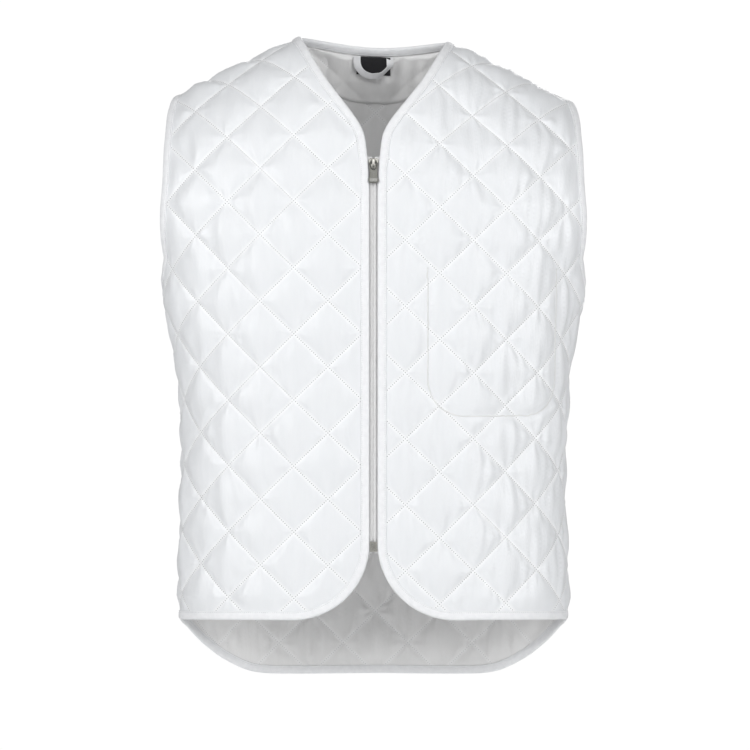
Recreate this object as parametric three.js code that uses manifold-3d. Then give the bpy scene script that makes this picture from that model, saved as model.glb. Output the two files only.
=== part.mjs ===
// Thermal gilet: a sleeveless quilted body warmer with a zip front, drawn in its worn form.
// Millimetres. +X is the wearer's left, the front faces -Y, +Z is up.
// The origin lies midway between the shoulders, level with the middle of the shoulder seams.

import * as THREE from 'three';
import { mergeVertices } from 'three/addons/utils/BufferGeometryUtils.js';
import Module from 'manifold-3d';

const wasm = await Module();
wasm.setup();

// The worn form, at the middle of the cloth's thickness
const CHEST_HALF_WIDTH = 254;
const CHEST_FRONT_DEPTH = 116;
const CHEST_BACK_DEPTH = 104;
const CHEST_DROP = 225;
const FRONT_POWER = 2.4;
const BACK_POWER = 2.5;
const SHOULDER_HALF_WIDTH = 239;
const SHOULDER_FALL = 72;
const SHOULDER_SEAM_BACK = 14;
const SHOULDER_TILT = 3.7;
const TILT_EASE = 80;
const NECK_HALF_WIDTH = 89;
const NECK_RISE = 38;

// The cut of the pieces, as drops below the origin
const ZIP_TOP_DROP = 109;
const UNDERARM_DROP = 253;
const FRONT_HEM_DROP = 648;
const SIDE_HEM_FALL = 7;
const SIDE_HEM_DROP = FRONT_HEM_DROP + SIDE_HEM_FALL;
const TAIL_FALL = 83;
const TAIL_DROP = FRONT_HEM_DROP + TAIL_FALL;
const CORNER_WIDE = 90;
const CORNER_TALL = 88;
const CORNER_DROP = FRONT_HEM_DROP - CORNER_TALL;
const ARMHOLE_FRONT_REACH = 62;
const ARMHOLE_BACK_REACH = 56;
const BACK_NECK_DEPTH = 38;
const BACK_NECK_POWER = 1.16;

// Cloth, quilting and bindings
const EDGE_THICK = 1.4;
const STITCH_THICK = 1.8;
const CROSSING_DIP = 0.15;
const PUFF_OUT = 4.6;
const PUFF_IN = 1.8;
const QUILT_WIDE = 79.6;
const QUILT_TALL = 77;
const PUFF_EASE = 22;
const SEAM_GAP = 0.3;
const GAP = 0.3;
const TAPE_THICK = 1;
const TAPE_CLEARANCE = 0.6;
const BINDING_WIDTH = 8.5;
const PUFF_CLEARANCE = 1.7;
const HEM_STEP = 19;
const CURVE_STEP = 17;
const NECK_STEP = 13;
const SEAM_STEP = 30;
const STRAIGHT_STEP = 50;

// Zip: w is the height above the middle of the cloth, outward
const ZIP_HALF_GAP_TOP = 7.2;
const ZIP_HALF_GAP_BOTTOM = 4.7;
const ZIP_TAPE_WIDE = 13.4;
const ZIP_TAPE_THICK = 1;
const ZIP_TAPE_PART = 3.2;
const ZIP_TAPE_CLEARANCE = 0.75;
const CHAIN_WIDE = 6;
const CHAIN_THICK = 2.2;
const ZIP_BOX_WIDE = 8.2;
const ZIP_BOX_TALL = 11.5;
const ZIP_BOX_THICK = 3.2;
const ZIP_BOX_RAISE = 2;
const ZIP_BOX_DROP = CORNER_DROP - ZIP_BOX_RAISE;
const ZIP_TAIL = 2;
const SLIDER_DROP = 118;
const SLIDER_WIDE = 11.5;
const SLIDER_FOOT_WIDE = 8.6;
const SLIDER_TALL = 12;
const SLIDER_PLATE = 1.4;
const SLIDER_FLANGE = 0.9;
const SLIDER_CLEARANCE = 0.6;
const FLANGE_FOOT = -5;
const FLANGE_TOP = -1;
const POST_WIDE = 2.6;
const POST_TALL = 3.4;
const POST_TOP_GAP = 0.5;
const BRIDGE_WIDE = 2.8;
const BRIDGE_TALL = 9;
const BRIDGE_THICK = 1.2;
const PULLER_LONG = 27.5;
const PULLER_WIDE = 10.2;
const PULLER_THICK = 1.6;
const PULLER_BAR = 1.9;
const PULLER_WINDOW_WIDE = 4.4;
const PULLER_WINDOW_TALL = 6.4;
const PULLER_WINDOW_CORNER = 1;
const PULLER_PANEL_WIDE = 5;
const PULLER_PANEL_TALL = 8.5;
const PULLER_PANEL_DEEP = 0.4;
const PULLER_PANEL_RISE = 3;
const PULLER_PANEL_CORNER = 1.5;
const PIVOT_CLEARANCE = 0.45;
const PIVOT_RISE = 2.2;

// Inside pieces
const PATCH_THICK = 1.2;
const FACING_DEPTH = 69;
const FACING_HALF_WIDTH = 84;
const FACING_TIP_RISE = 14;
const FACING_POWER = 2.2;
const LABEL_WIDE = 42;
const LABEL_TALL = 24;
const LABEL_THICK = 0.8;
const LABEL_CLEARANCE = 1.4;
const LABEL_RISE = 3;
const LOOP_WIDE = 46;
const LOOP_TAPE_WIDE = 8;
const LOOP_DROP = 28.5;
const LOOP_STAND_OFF = 8;
const LOOP_CORNER = 11.4;
const POCKET_INSET = 63;
const POCKET_DROP = 239;
const POCKET_WIDE = 160;
const POCKET_TALL = 173;
const POCKET_CORNER = 42;

// Crossing points of the quilt lines: distance from the front or back middle, drop below the origin
const QUILT_RIGHT = { out: 53, drop: 277.5 };
const QUILT_LEFT = { out: 37, drop: 284.2 };
const QUILT_BACK = { out: 2.5, drop: 271 };

// Body sections below the chest line. down: share of the way to the end of the tail.
// wide, front and back: shares of the chest's half width and depths.
const BODY_ROWS = [
  { down: 0.0, wide: 1.0, front: 1.0, back: 1.0 },
  { down: 0.1, wide: 0.981, front: 0.995, back: 0.985 },
  { down: 0.19, wide: 0.94, front: 0.985, back: 0.95 },
  { down: 0.33, wide: 0.906, front: 0.965, back: 0.92 },
  { down: 0.56, wide: 0.896, front: 0.945, back: 0.93 },
  { down: 0.76, wide: 0.909, front: 0.95, back: 0.99 },
  { down: 1.0, wide: 0.905, front: 0.96, back: 1.03 },
];

// Body sections above the chest line. up: share of the way along the cloth to the shoulder seam.
const SHOULDER_ROWS = [
  { up: 0.0, wide: 1.0 },
  { up: 0.15, wide: 1.052 },
  { up: 0.3, wide: 1.085 },
  { up: 0.5, wide: 1.077 },
  { up: 0.65, wide: 1.063 },
  { up: 0.8, wide: 1.03 },
  { up: 1.0, wide: 0.965 },
];

// Armhole edge from the underarm to the shoulder tip, seen from the side.
// rise: share of the armhole's height. reach: share of its greatest reach forwards or backwards.
const ARMHOLE_FRONT_ROWS = [
  { rise: 0.046, reach: 0.38 },
  { rise: 0.196, reach: 0.77 },
  { rise: 0.4, reach: 1.0 },
  { rise: 0.61, reach: 0.91 },
  { rise: 0.84, reach: 0.58 },
];
const ARMHOLE_BACK_ROWS = [
  { rise: 0.04, reach: 0.42 },
  { rise: 0.17, reach: 0.84 },
  { rise: 0.4, reach: 1.0 },
  { rise: 0.65, reach: 0.87 },
  { rise: 0.86, reach: 0.5 },
];

// Front neckline from the shoulder to the top of the zip, seen from the front.
const NECK_ROWS = [
  { in: 0.0, down: 0.0 },
  { in: 0.19, down: 0.19 },
  { in: 0.383, down: 0.367 },
  { in: 0.679, down: 0.585 },
  { in: 0.869, down: 0.728 },
  { in: 0.956, down: 0.83 },
  { in: 1.0, down: 1.0 },
];

// Lower edge of the tail from its middle to the side seam.
// out: share of the half width along the cloth. down: share of the drop below the side hem.
const TAIL_ROWS = [
  { out: 0.0, down: 1.0 },
  { out: 0.37, down: 1.0 },
  { out: 0.533, down: 0.95 },
  { out: 0.66, down: 0.74 },
  { out: 0.77, down: 0.46 },
  { out: 0.875, down: 0.17 },
  { out: 1.0, down: 0.0 },
];

// Half outline of the slider's plates, seen from the front, from the foot up.
// across: share of the half width. up: share of the half height.
const SLIDER_ROWS = [
  { across: 0.574, up: -1.0 },
  { across: 0.748, up: -0.833 },
  { across: 0.748, up: -0.167 },
  { across: 1.0, up: 0.333 },
  { across: 1.0, up: 0.75 },
  { across: 0.652, up: 1.0 },
];

// Half outline of the puller, from its bar down.
// across: share of the half width at the foot. down: share of the length.
const PULLER_ROWS = [
  { across: 0.647, down: 0.0 },
  { across: 0.843, down: 0.036 },
  { across: 0.843, down: 0.229 },
  { across: 0.725, down: 0.411 },
  { across: 1.0, down: 0.745 },
  { across: 1.0, down: 0.891 },
  { across: 0.647, down: 0.978 },
  { across: 0.333, down: 1.0 },
];

// Steps, tolerances and limits of the working
const SECTION_STEPS = 72;
const TURN_STEPS = 36;
const ARMHOLE_DETAIL = 80;
const SOLVE_ROUNDS = 12;
const PROBE = 0.4;
const PRISM_REACH = 50;
const EDGE_TOLERANCE = 2e-3;
const MERGE_TOLERANCE = 1e-4;
const WALL_FACING = 0.1;
const STRAIGHT_CORNER = 0.05;
const HEM_CROWDING = 1.25;
const SEAM_CROWDING = 1.3;
const BEND_STEPS = 5;

const CHEST_LINE = -CHEST_DROP;
const FRONT = { sign: -1, depth: CHEST_FRONT_DEPTH, column: 'front', power: FRONT_POWER };
const BACK = { sign: 1, depth: CHEST_BACK_DEPTH, column: 'back', power: BACK_POWER };

// A smooth reading of one column of a table of sections
function readRows(rows, key, at, column) {
  const last = rows.length - 1;
  let i = 0;
  while (i < last - 1 && at > rows[i + 1][key]) {
    i += 1;
  }
  const slopeAt = (j) => {
    const before = rows[Math.max(j - 1, 0)];
    const after = rows[Math.min(j + 1, last)];
    return (after[column] - before[column]) / (after[key] - before[key]);
  };
  const span = rows[i + 1][key] - rows[i][key];
  const u = THREE.MathUtils.clamp((at - rows[i][key]) / span, 0, 1);
  const u2 = u * u;
  const u3 = u2 * u;
  const start = (2 * u3 - 3 * u2 + 1) * rows[i][column] + (u3 - 2 * u2 + u) * span * slopeAt(i);
  const end = (3 * u2 - 2 * u3) * rows[i + 1][column] + (u3 - u2) * span * slopeAt(i + 1);
  return start + end;
}

// Walks a horizontal section from its middle and gives x and depth after the length reach.
// Past the side it goes straight on, and the whole quarter's length is given too.
function walkSection(halfWidth, depth, power, reach) {
  let before = new THREE.Vector2(0, depth);
  let length = 0;
  let found = null;
  for (let i = 1; i <= SECTION_STEPS; i += 1) {
    const turn = (i / SECTION_STEPS) * Math.PI * 0.5;
    const x = halfWidth * Math.sin(turn) ** (2 / power);
    const y = i < SECTION_STEPS ? depth * Math.cos(turn) ** (2 / power) : 0;
    const here = new THREE.Vector2(x, y);
    const step = here.distanceTo(before);
    if (found === null && length + step >= reach) {
      found = before.clone().lerp(here, (reach - length) / step);
    }
    length += step;
    before = here;
  }
  if (found === null) {
    found = depth > PROBE
      ? new THREE.Vector2(halfWidth, length - reach)
      : new THREE.Vector2(halfWidth + reach - length, 0);
  }
  return { x: found.x, y: found.y, length };
}

// The height of the shoulder line, rounded over inside the neck opening
function shoulderHeight(x) {
  const slope = SHOULDER_FALL / (SHOULDER_HALF_WIDTH - NECK_HALF_WIDTH);
  const inside = (x * x) / (2 * NECK_HALF_WIDTH) + NECK_HALF_WIDTH / 2;
  const out = x < NECK_HALF_WIDTH ? inside : x;
  return NECK_RISE - slope * (out - NECK_HALF_WIDTH);
}

// Length along the cloth from the chest line up to the shoulder seam, a quarter of an ellipse,
// and the turn round it after the length t
function climb(run, rise, t) {
  const lengths = [0];
  for (let i = 1; i <= TURN_STEPS; i += 1) {
    const a = ((i - 1) / TURN_STEPS) * Math.PI * 0.5;
    const b = (i / TURN_STEPS) * Math.PI * 0.5;
    const out = run * (Math.cos(a) - Math.cos(b));
    const up = rise * (Math.sin(b) - Math.sin(a));
    lengths.push(lengths[i - 1] + Math.hypot(out, up));
  }
  const total = lengths[TURN_STEPS];
  let i = 1;
  while (i < TURN_STEPS && lengths[i] < t) {
    i += 1;
  }
  const part = (t - lengths[i - 1]) / (lengths[i] - lengths[i - 1]);
  const turn = ((i - 1 + Math.min(part, 1)) / TURN_STEPS) * Math.PI * 0.5;
  return { total, turn };
}

function sectionAt(face, t) {
  const down = -t / (TAIL_DROP - CHEST_DROP);
  const halfWidth = CHEST_HALF_WIDTH * readRows(BODY_ROWS, 'down', down, 'wide');
  const depth = face.depth * readRows(BODY_ROWS, 'down', down, face.column);
  return { halfWidth, depth };
}

// The length of the cloth from the front or back middle to the side seam, at a height below the chest
function sideReach(face, t) {
  const { halfWidth, depth } = sectionAt(face, t);
  return walkSection(halfWidth, depth, face.power, 0).length;
}

function climbAt(face, reach, t) {
  const chest = walkSection(CHEST_HALF_WIDTH, face.depth, face.power, reach);
  const rise = shoulderHeight(chest.x) - CHEST_LINE;
  const run = Math.abs(face.sign * chest.y - SHOULDER_SEAM_BACK);
  return climb(run, rise, t);
}

// The form's surface, level on both sides. s: length along the cloth from the middle, positive to
// the wearer's left. t: height below the chest line, or length along the cloth above it.
function levelPoint(face, s, t) {
  const side = s < 0 ? -1 : 1;
  const reach = Math.abs(s);
  const point = new THREE.Vector3();
  if (t <= 0) {
    const { halfWidth, depth } = sectionAt(face, t);
    const at = walkSection(halfWidth, depth, face.power, reach);
    point.set(side * at.x, face.sign * at.y, CHEST_LINE + t);
  } else {
    const { total, turn } = climbAt(face, reach, t);
    const wide = CHEST_HALF_WIDTH * readRows(SHOULDER_ROWS, 'up', t / total, 'wide');
    const forward = Math.cos(turn);
    const at = walkSection(wide, forward * face.depth, face.power, reach);
    const y = SHOULDER_SEAM_BACK * (1 - forward) + face.sign * at.y;
    const z = CHEST_LINE + (shoulderHeight(at.x) - CHEST_LINE) * Math.sin(turn);
    point.set(side * at.x, y, z);
  }
  return point;
}

// The same surface with the wearer's right shoulder a little higher
function formPoint(face, s, t) {
  const point = levelPoint(face, s, t);
  const tilt = THREE.MathUtils.smoothstep(point.z, -UNDERARM_DROP, NECK_RISE);
  point.z -= SHOULDER_TILT * Math.tanh(point.x / TILT_EASE) * tilt;
  return point;
}

function formNormal(face, s, t) {
  const along = formPoint(face, s + PROBE, t).sub(formPoint(face, s - PROBE, t));
  const up = formPoint(face, s, t).sub(formPoint(face, s, t - PROBE));
  return along.cross(up).normalize().multiplyScalar(-face.sign);
}

// Lays a place of the flat cloth on the form, never past its own side seam
function drape(face, s, t, w) {
  const limit = t < 0 ? sideReach(face, t) - SEAM_GAP / 2 : Infinity;
  const held = THREE.MathUtils.clamp(s, -limit, limit);
  return formPoint(face, held, t).addScaledVector(formNormal(face, held, t), w);
}

// Finds the place on the cloth where a point seen from one side lies
function placeSeen(face, guess, miss) {
  let { s, t } = guess;
  for (let i = 0; i < SOLVE_ROUNDS; i += 1) {
    const [a, b] = miss(levelPoint(face, s, t));
    const [as, bs] = miss(levelPoint(face, s + PROBE, t));
    const [at, bt] = miss(levelPoint(face, s, t - PROBE));
    const m = [(as - a) / PROBE, (a - at) / PROBE, (bs - b) / PROBE, (b - bt) / PROBE];
    const scale = m[0] * m[3] - m[1] * m[2];
    const ds = (-a * m[3] + b * m[1]) / scale;
    const dt = (-b * m[0] + a * m[2]) / scale;
    const hold = Math.min(1, CURVE_STEP / Math.hypot(ds, dt));
    s += ds * hold;
    t += dt * hold;
  }
  return { s, t };
}

function seenFromFront(x, z) {
  return (point) => [point.x - x, point.z - z];
}

function seenFromSide(y, z) {
  return (point) => [point.y - y, point.z - z];
}

function seenFromAbove(x, y) {
  return (point) => [point.x - x, point.y - y];
}

function spaced(curve, step) {
  const count = Math.max(2, Math.round(curve.getLength() / step));
  return curve.getSpacedPoints(count);
}

function stepsBetween(from, to, step) {
  const count = Math.max(1, Math.round(Math.abs(to - from) / step));
  const list = [];
  for (let i = 0; i <= count; i += 1) {
    list.push(from + ((to - from) * i) / count);
  }
  return list;
}

// Steps along a hem towards the side seam, closer where the body turns more sharply
function hemSteps(from, to) {
  return stepsBetween(0, 1, HEM_STEP / (to - from)).slice(0, -1).map((part) => (
    to - (to - from) * (1 - part) ** HEM_CROWDING));
}

// Marches along a list of seen points, each solved from the one before
function march(face, start, seen) {
  const places = [];
  let guess = start;
  for (const miss of seen) {
    guess = placeSeen(face, guess, miss);
    places.push(guess);
  }
  return places;
}

function seamTop(face, s) {
  return climbAt(face, Math.abs(s), 0).total - SEAM_GAP / 2;
}

const UNDERARM_T = CHEST_DROP - UNDERARM_DROP;
const SIDE_HEM_T = CHEST_DROP - SIDE_HEM_DROP;
const FRONT_HEM_T = CHEST_DROP - FRONT_HEM_DROP;
const TAIL_T = CHEST_DROP - TAIL_DROP;
const EDGE_FOLD = TAPE_CLEARANCE + TAPE_THICK;
const EDGE_TOP = ZIP_HALF_GAP_TOP + EDGE_FOLD;
const EDGE_BOTTOM = ZIP_HALF_GAP_BOTTOM + EDGE_FOLD;
const SHOULDER_TIP_RISE = NECK_RISE - SHOULDER_FALL;

// The armhole's edge on one face, from just above the underarm to just below the tip
function armholePlaces(face) {
  const front = face === FRONT;
  const rows = front ? ARMHOLE_FRONT_ROWS : ARMHOLE_BACK_ROWS;
  const other = front ? ARMHOLE_BACK_ROWS : ARMHOLE_FRONT_ROWS;
  const reach = front ? -ARMHOLE_FRONT_REACH : ARMHOLE_BACK_REACH;
  const otherReach = front ? ARMHOLE_BACK_REACH : -ARMHOLE_FRONT_REACH;
  const height = SHOULDER_TIP_RISE + UNDERARM_DROP;
  const seenPoint = (row, far) => {
    const chord = SHOULDER_SEAM_BACK * row.rise;
    return new THREE.Vector3(0, chord + far * row.reach, row.rise * height - UNDERARM_DROP);
  };
  const loop = [new THREE.Vector3(0, 0, -UNDERARM_DROP)];
  rows.forEach((row) => loop.push(seenPoint(row, reach)));
  loop.push(new THREE.Vector3(0, SHOULDER_SEAM_BACK, SHOULDER_TIP_RISE));
  other.slice().reverse().forEach((row) => loop.push(seenPoint(row, otherReach)));
  const curve = new THREE.CatmullRomCurve3(loop, true);
  const half = (rows.length + 1) / loop.length;
  const fine = [];
  for (let i = 0; i <= ARMHOLE_DETAIL; i += 1) {
    fine.push(curve.getPoint((half * i) / ARMHOLE_DETAIL));
  }
  const edge = spaced(new THREE.CatmullRomCurve3(fine), CURVE_STEP).slice(1, -1);
  const start = { s: sideReach(face, UNDERARM_T), t: UNDERARM_T };
  return march(face, start, edge.map((p) => seenFromSide(p.y, p.z)));
}

function tag(places, edge) {
  return places.map((place) => ({ s: place.s, t: place.t, edge }));
}

// From the hem's side corner up the side seam, with closer places under the arm, round the armhole
// and along the shoulder seam
function sidePlaces(face) {
  const reachAt = (t) => sideReach(face, t) - SEAM_GAP / 2;
  const seam = UNDERARM_T - SIDE_HEM_T;
  const side = stepsBetween(1, 0, SEAM_STEP / seam).map((part) => {
    const t = UNDERARM_T - seam * part ** SEAM_CROWDING;
    return { s: reachAt(t), t };
  });
  const underarm = side.pop();
  const tip = { s: SHOULDER_HALF_WIDTH, t: seamTop(face, SHOULDER_HALF_WIDTH) };
  const shoulder = stepsBetween(SHOULDER_HALF_WIDTH, NECK_HALF_WIDTH, SEAM_STEP).slice(1, -1);
  return [
    ...tag(side, 'seam'),
    ...tag([underarm], 'armhole'),
    ...tag(armholePlaces(face), 'armhole'),
    ...tag([tip], 'seam'),
    ...tag(shoulder.map((s) => ({ s, t: seamTop(face, s) })), 'seam'),
  ];
}

// Outlines run anticlockwise on the flat cloth, for the wearer's left half.
// Each place names the edge that starts there.
function frontOutline() {
  const spread = NECK_HALF_WIDTH - EDGE_TOP;
  const fall = NECK_RISE + ZIP_TOP_DROP;
  const neckCurve = new THREE.CatmullRomCurve3(NECK_ROWS.map((row) => new THREE.Vector3(
    NECK_HALF_WIDTH - row.in * spread,
    0,
    NECK_RISE - row.down * fall,
  )));
  const neckPoint = { s: NECK_HALF_WIDTH, t: seamTop(FRONT, NECK_HALF_WIDTH) };
  const seen = spaced(neckCurve, CURVE_STEP).slice(1).map((p) => seenFromFront(p.x, p.z));
  const neck = march(FRONT, neckPoint, seen);
  const zipTop = neck.pop();
  const cornerT = CHEST_DROP - CORNER_DROP;
  const edgeAt = (t) => {
    const part = (t - cornerT) / (zipTop.t - cornerT);
    return EDGE_BOTTOM + (EDGE_TOP - EDGE_BOTTOM) * part * part;
  };
  const edge = stepsBetween(zipTop.t, cornerT, STRAIGHT_STEP).map((t) => ({ s: edgeAt(t), t }));
  edge.pop();
  const corner = [];
  const cornerSteps = Math.round((CORNER_WIDE * Math.PI) / 2 / CURVE_STEP);
  for (let i = 0; i < cornerSteps; i += 1) {
    const turn = (i / cornerSteps) * Math.PI * 0.5;
    corner.push({
      s: EDGE_BOTTOM + CORNER_WIDE * (1 - Math.cos(turn)),
      t: cornerT - (cornerT - FRONT_HEM_T) * Math.sin(turn),
    });
  }
  const hemStart = EDGE_BOTTOM + CORNER_WIDE;
  const hemEnd = sideReach(FRONT, SIDE_HEM_T);
  const hem = hemSteps(hemStart, hemEnd).map((s) => {
    const part = (s - hemStart) / (hemEnd - hemStart);
    return { s, t: FRONT_HEM_T + (SIDE_HEM_T - FRONT_HEM_T) * part * part };
  });
  return [
    ...tag(corner, 'edge'),
    ...tag(hem, 'edge'),
    ...sidePlaces(FRONT),
    ...tag([neckPoint], 'edge'),
    ...tag(neck, 'edge'),
    ...tag(edge, 'edge'),
  ];
}

function backOutline() {
  const hemEnd = sideReach(BACK, SIDE_HEM_T);
  const tailRow = (s) => readRows(TAIL_ROWS, 'out', s / hemEnd, 'down');
  const tail = hemSteps(0, hemEnd).map((s) => (
    { s, t: SIDE_HEM_T + (TAIL_T - SIDE_HEM_T) * tailRow(s) }));
  const neckPoint = { s: NECK_HALF_WIDTH, t: seamTop(BACK, NECK_HALF_WIDTH) };
  const bowed = stepsBetween(0, 1, 1 / SECTION_STEPS).map((part) => {
    const turn = part * Math.PI * 0.5;
    const bow = Math.sin(turn) ** BACK_NECK_POWER;
    return new THREE.Vector3(NECK_HALF_WIDTH * Math.cos(turn), SHOULDER_SEAM_BACK + BACK_NECK_DEPTH * bow, 0);
  });
  const neckCurve = new THREE.CatmullRomCurve3(bowed);
  const seen = spaced(neckCurve, NECK_STEP).slice(1).map((p) => seenFromAbove(p.x, p.y));
  const neck = march(BACK, neckPoint, seen);
  neck[neck.length - 1].s = 0;
  const half = [
    ...tag(tail, 'edge'),
    ...sidePlaces(BACK),
    ...tag([neckPoint], 'neck'),
    ...tag(neck, 'neck'),
  ];
  const mirrored = half.slice(1, -1).reverse().map((place, i, list) => {
    const before = i + 1 < list.length ? list[i + 1].edge : 'edge';
    return { s: -place.s, t: place.t, edge: before };
  });
  return [...half, ...mirrored];
}

function unit(a, b) {
  const length = Math.hypot(b.s - a.s, b.t - a.t);
  return { s: (b.s - a.s) / length, t: (b.t - a.t) / length };
}

// The places of an outline with the direction into the cloth. Where a bound edge meets a seam,
// that direction follows the seam.
function withInward(outline) {
  const count = outline.length;
  return outline.map((place, i) => {
    const previous = outline[(i + count - 1) % count];
    const next = outline[(i + 1) % count];
    const seamBefore = previous.edge === 'seam';
    const seamAfter = place.edge === 'seam';
    let inward;
    if (seamBefore && !seamAfter) {
      inward = unit(place, previous);
    } else if (seamAfter && !seamBefore) {
      inward = unit(place, next);
    } else {
      const along = unit(previous, next);
      inward = { s: -along.t, t: along.s };
    }
    return { ...place, inward };
  });
}

// The outline moved inwards by its own distance along each edge
function insetOutline(outline, distance) {
  const count = outline.length;
  return outline.map((place, i) => {
    const previous = outline[(i + count - 1) % count];
    const next = outline[(i + 1) % count];
    const a = unit(previous, place);
    const b = unit(place, next);
    const da = distance(previous.edge);
    const db = distance(place.edge);
    const cross = a.s * b.t - a.t * b.s;
    if (Math.abs(cross) < STRAIGHT_CORNER) {
      const mid = unit(previous, next);
      const d = (da + db) / 2;
      return { ...place, s: place.s - mid.t * d, t: place.t + mid.s * d };
    }
    const s = place.s + (b.s * da - a.s * db) / cross;
    const t = place.t + (b.t * da - a.t * db) / cross;
    return { ...place, s, t };
  });
}

function distanceInside(outline, s, t) {
  let nearest = Infinity;
  let inside = false;
  outline.forEach((a, i) => {
    const b = outline[(i + 1) % outline.length];
    const ds = b.s - a.s;
    const dt = b.t - a.t;
    const along = ((s - a.s) * ds + (t - a.t) * dt) / (ds * ds + dt * dt);
    const part = THREE.MathUtils.clamp(along, 0, 1);
    nearest = Math.min(nearest, Math.hypot(a.s + part * ds - s, a.t + part * dt - t));
    if ((a.t > t) !== (b.t > t) && s < a.s + (ds * (t - a.t)) / dt) {
      inside = !inside;
    }
  });
  return inside ? nearest : -nearest;
}

function mergedSolid(positions, triangles) {
  return new wasm.Manifold(new wasm.Mesh({
    numProp: 3,
    vertProperties: new Float32Array(positions),
    triVerts: new Uint32Array(triangles),
  }));
}

function geometrySolid(geometry) {
  geometry.deleteAttribute('normal');
  geometry.deleteAttribute('uv');
  const merged = mergeVertices(geometry, MERGE_TOLERANCE);
  return mergedSolid(merged.attributes.position.array, merged.index.array);
}

// The prism over an outline, reaching well above and below the cloth
function outlinePrism(outline, low = -PRISM_REACH, high = PRISM_REACH) {
  const shape = new THREE.Shape(outline.map((place) => new THREE.Vector2(place.s, place.t)));
  const geometry = new THREE.ExtrudeGeometry(shape, { depth: high - low, bevelEnabled: false });
  geometry.translate(0, 0, low);
  return geometrySolid(geometry);
}

// A sheet over the quilt's half steps. heights gives the outer and inner height at a place.
// Odd steps both ways are the middles of the puffs, even steps both ways are the crossings.
function latticeSheet(outline, quilt, heights) {
  const s0 = quilt.out;
  const t0 = CHEST_DROP - quilt.drop;
  const stepS = QUILT_WIDE / 4;
  const stepT = QUILT_TALL / 4;
  const sums = outline.map((place) => (place.s - s0) / stepS / 2 + (place.t - t0) / stepT / 2);
  const differences = outline.map((place) => (place.s - s0) / stepS / 2 - (place.t - t0) / stepT / 2);
  const i0 = Math.floor(Math.min(...sums)) - 1;
  const i1 = Math.ceil(Math.max(...sums)) + 1;
  const j0 = Math.floor(Math.min(...differences)) - 1;
  const j1 = Math.ceil(Math.max(...differences)) + 1;
  const rows = j1 - j0 + 1;
  const outer = [];
  const inner = [];
  for (let i = i0; i <= i1; i += 1) {
    for (let j = j0; j <= j1; j += 1) {
      const s = s0 + (i + j) * stepS;
      const t = t0 + (i - j) * stepT;
      const middle = i % 2 !== 0 && j % 2 !== 0;
      const crossing = i % 2 === 0 && j % 2 === 0;
      const height = heights(s, t, middle, crossing);
      outer.push(s, t, height.outer);
      inner.push(s, t, height.inner);
    }
  }
  const shift = outer.length / 3;
  const triangles = [];
  const at = (i, j) => (i - i0) * rows + (j - j0);
  for (let i = i0; i < i1; i += 1) {
    for (let j = j0; j < j1; j += 1) {
      const left = at(i, j);
      const right = at(i + 1, j + 1);
      const top = at(i + 1, j);
      const bottom = at(i, j + 1);
      triangles.push(left, bottom, top, right, top, bottom);
      triangles.push(shift + left, shift + top, shift + bottom);
      triangles.push(shift + right, shift + bottom, shift + top);
    }
  }
  const wall = (a, b) => triangles.push(a, shift + a, b, b, shift + a, shift + b);
  for (let i = i0; i < i1; i += 1) {
    wall(at(i + 1, j0), at(i, j0));
    wall(at(i, j1), at(i + 1, j1));
  }
  for (let j = j0; j < j1; j += 1) {
    wall(at(i0, j), at(i0, j + 1));
    wall(at(i1, j + 1), at(i1, j));
  }
  return mergedSolid([...outer, ...inner], triangles);
}

// A plain sheet of cloth that follows the quilting's steps faintly
function followingSheet(outline, quilt, outer, inner) {
  const sheet = latticeSheet(outline, quilt, (s, t, middle, crossing) => {
    const ripple = crossing ? -CROSSING_DIP : 0;
    return { outer: outer + ripple, inner: inner + ripple };
  });
  return sheet.intersect(outlinePrism(outline));
}

// Drapes a flat solid over one face of the form
function drapedGeometry(solid, face, side) {
  const mesh = solid.getMesh();
  const points = [];
  for (let i = 0; i < mesh.vertProperties.length; i += mesh.numProp) {
    const [s, t, height] = mesh.vertProperties.slice(i, i + 3);
    const point = drape(face, side * s, t, height);
    points.push(point.x, point.y, point.z);
  }
  return closedGeometry(points, Array.from(mesh.triVerts));
}

// A geometry whose faces point out, whichever way round its triangles were given
function closedGeometry(points, triangles) {
  const a = new THREE.Vector3();
  const b = new THREE.Vector3();
  const c = new THREE.Vector3();
  let volume = 0;
  for (let i = 0; i < triangles.length; i += 3) {
    a.fromArray(points, triangles[i] * 3);
    b.fromArray(points, triangles[i + 1] * 3);
    c.fromArray(points, triangles[i + 2] * 3);
    volume += a.dot(b.cross(c)) / 6;
  }
  if (volume < 0) {
    triangles.reverse();
  }
  const geometry = new THREE.BufferGeometry();
  geometry.setAttribute('position', new THREE.Float32BufferAttribute(points, 3));
  geometry.setIndex(triangles);
  geometry.computeVertexNormals();
  return geometry;
}

function solidGeometry(solid) {
  const mesh = solid.getMesh();
  return closedGeometry(Array.from(mesh.vertProperties), Array.from(mesh.triVerts));
}

// The puffed cloth of a quilted piece, flat, which stops where the bindings start
function puffedSheet(inset, quilt) {
  const puffed = latticeSheet(inset, quilt, (s, t, middle, crossing) => {
    const ease = THREE.MathUtils.smoothstep(distanceInside(inset, s, t), -GAP, PUFF_EASE);
    const puff = middle ? ease : 0;
    const half = STITCH_THICK / 2 - (crossing ? CROSSING_DIP : 0);
    return { outer: half + PUFF_OUT * puff, inner: -half - PUFF_IN * puff };
  });
  return puffed.intersect(outlinePrism(inset));
}

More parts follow.
